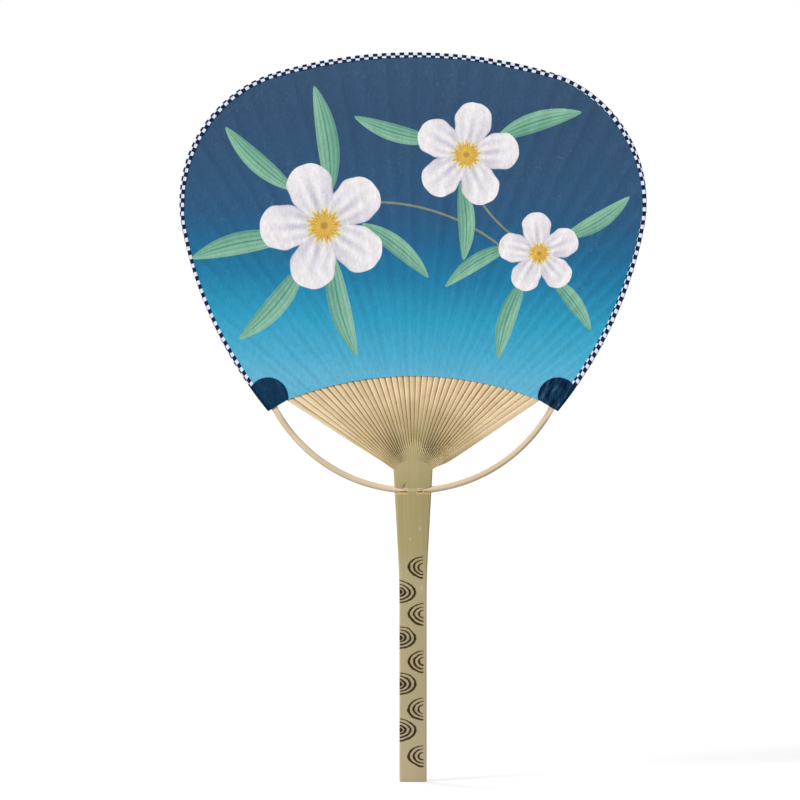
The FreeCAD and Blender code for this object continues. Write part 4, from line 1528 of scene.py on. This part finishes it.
@dataclass
class EdgeTape:
    """Checked tape folded round the rim, from ear patch to ear patch.

    Its course gives, at places along the rim, how wide the front flap was laid and where the checks'
    first row lies there.
    """

    outline: FaceOutline
    flap: float = 2.7
    flap_rows: tuple[float, ...] = (1.8, 1.0)
    fold: float = 0.5
    fold_rows: int = 5
    rim_length: float = 0.65
    looseness: float = 0.07
    ends: tuple[float, float] = (2.18525, -0.00162)
    columns: int = 420
    course: tuple[tuple[float, float, float], ...] = (
        (-261.0, 2.5, 0.75),
        (-222.0, 1.95, 0.15),
        (-192.0, 1.65, 0.0),
        (-172.0, 1.85, 0.25),
        (-155.0, 2.4, 0.85),
        (-128.0, 2.6, 1.05),
        (-91.0, 2.4, 0.8),
        (-60.0, 2.5, 1.25),
        (-20.0, 2.6, 1.5),
        (30.0, 2.45, 1.55),
        (52.0, 2.85, 1.6),
        (66.0, 2.6, 1.0),
        (80.0, 2.25, 0.1),
        (100.0, 2.5, 0.05),
        (126.0, 2.5, 1.1),
        (140.0, 2.25, 0.9),
        (158.0, 2.1, 0.05),
        (182.0, 2.3, 0.0),
        (208.0, 2.7, 0.1),
        (261.0, 3.1, 0.15),
    )

    def _laid(self, along: float) -> tuple[float, float]:
        """Return how the tape was laid at a place.

        Args:
            along: Length along the rim from its top.

        Returns:
            The front flap's width, and where the checks' first row lies.
        """
        for here, after in zip(self.course, self.course[1:]):
            if along < after[0]:
                break
        share = smooth(here[0], after[0], along)
        return blend(here[1], after[1], share), blend(here[2], after[2], share)

    def _widened(self, inset: float, offset: float, flap: float) -> float:
        """Return how much farther in a point lies than on the even tape.

        Args:
            inset: The point's inset on the even tape.
            offset: Its offset from the face's middle; only the front flap is uneven.
            flap: Width of the front flap there.

        Returns:
            The difference.
        """
        if offset >= 0 or inset <= self.fold:
            return 0.0
        return (inset - self.fold) * ((flap - self.fold) / (self.flap - self.fold) - 1)

    def _profile(self) -> list[tuple[float, float, float]]:
        """Return the fold's outer side.

        Returns:
            Points with their inset, offset from the face's middle and length from the rim.
        """
        half = [(inset, -FOLD_HALF) for inset in (self.flap, *self.flap_rows)]
        for row in range(self.fold_rows + 1):
            turn = row * math.pi / 2 / self.fold_rows
            half.append((self.fold * (1 - math.sin(turn)), -FOLD_HALF + self.fold * (1 - math.cos(turn))))
        points = half + [(inset, -offset) for inset, offset in reversed(half)]
        lengths = [0.0]
        for here, after in zip(points, points[1:]):
            lengths.append(lengths[-1] + math.dist(here, after))
        middle = lengths[-1] / 2
        return [(inset, offset, middle - length) for (inset, offset), length in zip(points, lengths)]

    def build(self) -> None:
        """Make the tape."""
        profile = self._profile()
        rows = len(profile) - 1

        def place(u: float, v: float) -> Vector:
            """Return where a grid point lies.

            Args:
                u: Share of the way along the rim.
                v: Share of the way round the fold.

            Returns:
                The place.
            """
            inset, offset, _ = profile[round(v * rows)]
            _, _, along = self.outline.rim_point(u, inset, self.ends)
            loose = noise.noise(Vector((along * 0.09, offset, 7.0))) * self.looseness
            inset += self._widened(inset, offset, self._laid(along)[0]) + loose * smooth(1.5, 2.7, inset)
            x, z, _ = self.outline.rim_point(u, inset, self.ends)
            return Vector((x, self.outline.plane + offset, z))

        def unwrap(u: float, v: float) -> Vector:
            """Return a grid point's surface coordinates.

            Args:
                u: Share of the way along the rim.
                v: Share of the way round the fold.

            Returns:
                Its place along the rim and across the checks.
            """
            inset, offset, length = profile[round(v * rows)]
            _, _, along = self.outline.rim_point(u, 0.0, self.ends)
            flap, row = self._laid(along)
            length += self._widened(inset, offset, flap)
            return Vector((along, length - self.rim_length - row, 0.0))

        mesh = shaped_grid(self.columns, rows, place, unwrap)
        face_away(mesh, self.outline.plane)
        material = CheckedTape().material()
        finish_piece(mesh, "checked_tape", "edge_binding", "edge_tape", material, wall=PAPER_WALL)


@dataclass
class EarPatches:
    """Dark paper patches folded round the paper's lower corners, creased over the bow's tips."""

    outline: FaceOutline
    arc: Ring = Ring(73.5, 194.8964, 10.2)
    corner: tuple[float, float] = (73.5165, 187.8464)
    rim_end: tuple[float, float] = (82.512, 199.6738)
    edge_end: tuple[float, float] = (63.3563, 193.8259)
    bow_entry: tuple[float, float] = (70.86, 190.68)
    ridge: float = 0.22
    fold: float = 0.34
    left_share: float = 0.3
    apart: float = 40.0
    cells: int = 44
    fold_cells: int = 6

    def _flat(self, u: float, v: float) -> tuple[float, float]:
        """Return a point on the right patch laid flat.

        Args:
            u: Share of the way from the lower edge to the rim.
            v: Share of the way from the corner to the round side.

        Returns:
            (x, z).
        """
        low = math.atan2(self.edge_end[0] - self.corner[0], self.edge_end[1] - self.corner[1])
        high = math.atan2(self.rim_end[0] - self.corner[0], self.rim_end[1] - self.corner[1])
        turn = blend(low, high, u)
        reach = self.arc.reach(*self.corner, turn) * v
        x = self.corner[0] + reach * math.sin(turn)
        z = self.corner[1] + reach * math.cos(turn)
        if u > 0.999:
            x, z = SIDE_RING.point(math.atan2(x - SIDE_RING.x, z - SIDE_RING.z))
        return x, z

    def _by_bow(self, x: float, z: float) -> tuple[float, float]:
        """Return how far a point lies along the bow's tip and beside it.

        Args:
            x: The point, across.
            z: The point, upwards.

        Returns:
            The two lengths.
        """
        off_x = x - self.bow_entry[0]
        off_z = z - self.bow_entry[1]
        along = off_x * math.cos(BOW_ENTRY) + off_z * math.sin(BOW_ENTRY)
        return along, off_z * math.cos(BOW_ENTRY) - off_x * math.sin(BOW_ENTRY)

    def _bulge(self, x: float, z: float, seed: float) -> float:
        """Return how far the patch stands proud over the bow's tip, with small creases beside it.

        Args:
            x: The point, across.
            z: The point, upwards.
            seed: Which creases.

        Returns:
            The height.
        """
        along, across = self._by_bow(x, z)
        ridge = math.exp(-((across / 1.5) ** 2)) * smooth(9.5, 6.0, along) * smooth(-1.5, 0.5, along)
        crease = abs(noise.noise(Vector((across * 0.55, along * 0.2, seed))))
        fold = max(0.0, 1 - 4.0 * crease) * smooth(10.0, 4.0, math.hypot(along - 4.5, across))
        return self.ridge * ridge + self.fold * fold

    def _spread(self, u: float) -> tuple[float, float]:
        """Return where a share of the way round the fold lies.

        Args:
            u: The share, from the front's lower edge to the back's.

        Returns:
            The share of the way from the lower edge to the rim, and from -1 in front to 1 behind.
        """
        columns = 2 * self.cells + self.fold_cells
        cell = round(u * columns)
        if cell <= self.cells:
            return cell / self.cells, -1.0
        if cell >= self.cells + self.fold_cells:
            return (columns - cell) / self.cells, 1.0
        return 1.0, (cell - self.cells) / self.fold_cells * 2 - 1

    def _shape(self, hand: Hand) -> bmesh.types.BMesh:
        """Return one patch's outer side.

        Args:
            hand: Which patch.

        Returns:
            The shape.
        """
        creasing = 1.0 if hand is Hand.RIGHT else self.left_share

        def place(u: float, v: float) -> Vector:
            """Return where a grid point lies.

            Args:
                u: Share of the way round the fold.
                v: Share of the way from the corner to the round side.

            Returns:
                The place.
            """
            share, offset = self._spread(u)
            x, z = self._flat(share, v)
            proud = self._bulge(x, z, hand.value * 5.0 + offset) * creasing * smooth(1.0, 0.88, share)
            return Vector((hand.value * x, self.outline.plane + offset * (FOLD_HALF + proud), z))

        def unwrap(u: float, v: float) -> Vector:
            """Return a grid point's surface coordinates.

            Args:
                u: Share of the way round the fold.
                v: Share of the way from the corner to the round side.

            Returns:
                Its place by the bow's tip, with each face and patch on its own.
            """
            share, offset = self._spread(u)
            along, across = self._by_bow(*self._flat(share, v))
            return Vector((along + self.apart * hand.value, across + self.apart * round(offset), 0.0))

        mesh = shaped_grid(2 * self.cells + self.fold_cells, self.cells, place, unwrap)
        face_away(mesh, self.outline.plane)
        return mesh

    def build(self) -> None:
        """Make both patches."""
        material = EarPaper().material()
        for hand in Hand:
            node = f"{hand.name.lower()}_ear"
            finish_piece(self._shape(hand), f"{node}_patch", node, "ear_paper", material, wall=PAPER_WALL)


@dataclass
class Bow:
    """Round bamboo bow through the handle, its tips shaved flat."""

    outline: FaceOutline
    plane: float = -0.7691
    radius: float = 1.6
    unevenness: float = 0.025
    ramp: float = 9.0
    tuck: float = 8.5
    tip_half: float = 0.2
    columns: int = 20
    rows: int = 150

    def build(self) -> None:
        """Make the bow."""
        end = BOW_ENTRY + self.tuck / BOW_RING.radius

        def place(u: float, v: float) -> Vector:
            """Return where a grid point lies.

            Args:
                u: Share of the way round the section.
                v: Share of the way along the bow.

            Returns:
                The place.
            """
            turn = blend(-end, end, v)
            sine = math.sin(u * 2 * math.pi)
            thick = self.radius * (1 + self.unevenness * noise.noise(Vector((turn * 9.0, sine, 1.0))))
            past = (abs(turn) - BOW_ENTRY) * BOW_RING.radius
            shaved = min(1.0, max(0.0, past / self.ramp + 1))
            depth = self.plane + sine * thick
            if shaved > 0:
                front = blend(self.plane - self.radius, self.outline.plane - self.tip_half, shaved)
                back = blend(self.plane + self.radius, self.outline.plane + self.tip_half, shaved)
                depth = min(max(depth, front), back)
            reach = BOW_RING.radius + math.cos(u * 2 * math.pi) * thick
            return Vector((reach * math.sin(turn), depth, BOW_RING.z - reach * math.cos(turn)))

        def unwrap(u: float, v: float) -> Vector:
            """Return a grid point's place round the section and along the bow."""
            return Vector((u * 2 * math.pi * self.radius, blend(-end, end, v) * BOW_RING.radius, 0.0))

        mesh = shaped_grid(self.columns, self.rows, place, unwrap)
        close_ends(mesh)
        finish_piece(mesh, "bent_bow", "bow", "bow_bamboo", BowBamboo().material())


@dataclass
class Handle:
    """Flat bamboo handle, kept as the frame has it and shaded smoothly."""

    node: str = "handle"
    crease: float = 35.0

    def build(self) -> None:
        """Make the handle from a merged copy of its node."""
        mesh = bmesh.new()
        mesh.from_mesh(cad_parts[self.node].data)
        bmesh.ops.remove_doubles(mesh, verts=mesh.verts, dist=1e-7)
        bmesh.ops.scale(mesh, vec=TO_MM, verts=mesh.verts)
        material = HandleBamboo().material()
        piece = finish_piece(mesh, "split_handle", self.node, "handle_bamboo", material, crease=self.crease)
        weigh = piece.modifiers.new("even_shading", "WEIGHTED_NORMAL")
        weigh.keep_sharp = True


@dataclass
class Thread:
    """Binding thread between the papers, as the frame has it."""

    node: str = "binding_thread"

    def build(self) -> None:
        """Dress the thread."""
        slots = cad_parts[self.node].data.materials
        slots.clear()
        slots.append(CottonThread().material())
        LOG.info("%s dressed", self.node)


@dataclass
class Studio:
    """Pale floor, soft light and the camera in front of the printed side."""

    middle: tuple[float, float] = (-6.6, 193.6)
    view_width: float = 406.0
    distance: float = 3000.0
    sensor: float = 36.0
    view_end: float = 500.0
    floor_size: float = 400.0
    sky_light: float = 0.45
    key_light: float = 2.6
    key_from: tuple[float, float, float] = (-0.62, -0.58, 0.53)
    fill_light: float = 1.7
    fill_from: tuple[float, float, float] = (-0.45, 0.7, 0.55)
    lamp_width: float = 24.0
    floor_shade: float = 0.45
    floor_glow: float = 0.52

    def _floor(self) -> None:
        """Lay a pale floor that shows nearly white and keeps the fan's shadow."""
        mesh = bmesh.new()
        bmesh.ops.create_grid(mesh, x_segments=1, y_segments=1, size=self.floor_size / 2)
        shader = Shader("pale_floor")
        shader.finish(grey(self.floor_shade), 0.9, gloss=0.0)
        glow = shader.mix(grey(0.0), grey(self.floor_glow), shader.seen())
        shader.feed(shader.surface, {"Emission Color": glow, "Emission Strength": 1.0})
        add_mesh("floor", mesh, shader.material)

    def _world(self) -> None:
        """Light the scene softly all round, with a white background in view."""
        world = bpy.data.worlds.new("studio")
        world.use_nodes = True
        graph = NodeGraph(world.node_tree)
        levels: Inputs = {"Value": graph.seen(), "To Min": self.sky_light, "To Max": 1.0}
        strength = graph.node("ShaderNodeMapRange", inputs=levels).outputs[0]
        sky = graph.node("ShaderNodeBackground", inputs={"Color": grey(1.0), "Strength": strength})
        graph.node("ShaderNodeOutputWorld", inputs={"Surface": sky.outputs[0]})
        bpy.context.scene.world = world

    def _sun(self, name: str, light: float, direction: tuple[float, float, float]) -> None:
        """Light the scene evenly and softly from one direction.

        Args:
            name: Name of the lamp.
            light: Its strength.
            direction: Where the light comes from.
        """
        lamp = bpy.data.lights.new(name, "SUN")
        lamp.energy = light
        lamp.angle = math.radians(self.lamp_width)
        add_object(name, lamp).rotation_euler = Vector(direction).to_track_quat("Z", "Y").to_euler()

    def _camera(self) -> None:
        """Set the camera level in front of the fan."""
        camera = bpy.data.cameras.new("camera")
        camera.sensor_fit = "HORIZONTAL"
        camera.sensor_width = self.sensor
        camera.lens = self.sensor * self.distance / self.view_width
        camera.clip_end = self.view_end
        item = add_object("camera", camera)
        item.location = (self.middle[0] * MM, -self.distance * MM, self.middle[1] * MM)
        item.rotation_euler = (math.pi / 2, 0.0, 0.0)
        bpy.context.scene.camera = item

    def build(self) -> None:
        """Make the stage."""
        self._floor()
        self._world()
        self._sun("key", self.key_light, self.key_from)
        self._sun("fill", self.fill_light, self.fill_from)
        self._camera()
        bpy.context.scene.view_settings.view_transform = "Standard"
        LOG.info("studio set")


def main() -> None:
    """Build the fan's pieces in order."""
    logging.basicConfig(level=logging.INFO, format="%(name)s: %(message)s")
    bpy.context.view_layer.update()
    outline = FaceOutline()
    ribs = RibFan(outline)
    Studio().build()
    Handle().build()
    ribs.build()
    Bow(outline).build()
    Thread().build()
    PaperFace(outline, ribs).build()
    EdgeTape(outline).build()
    EarPatches(outline).build()


if __name__ == "__main__":
    main()
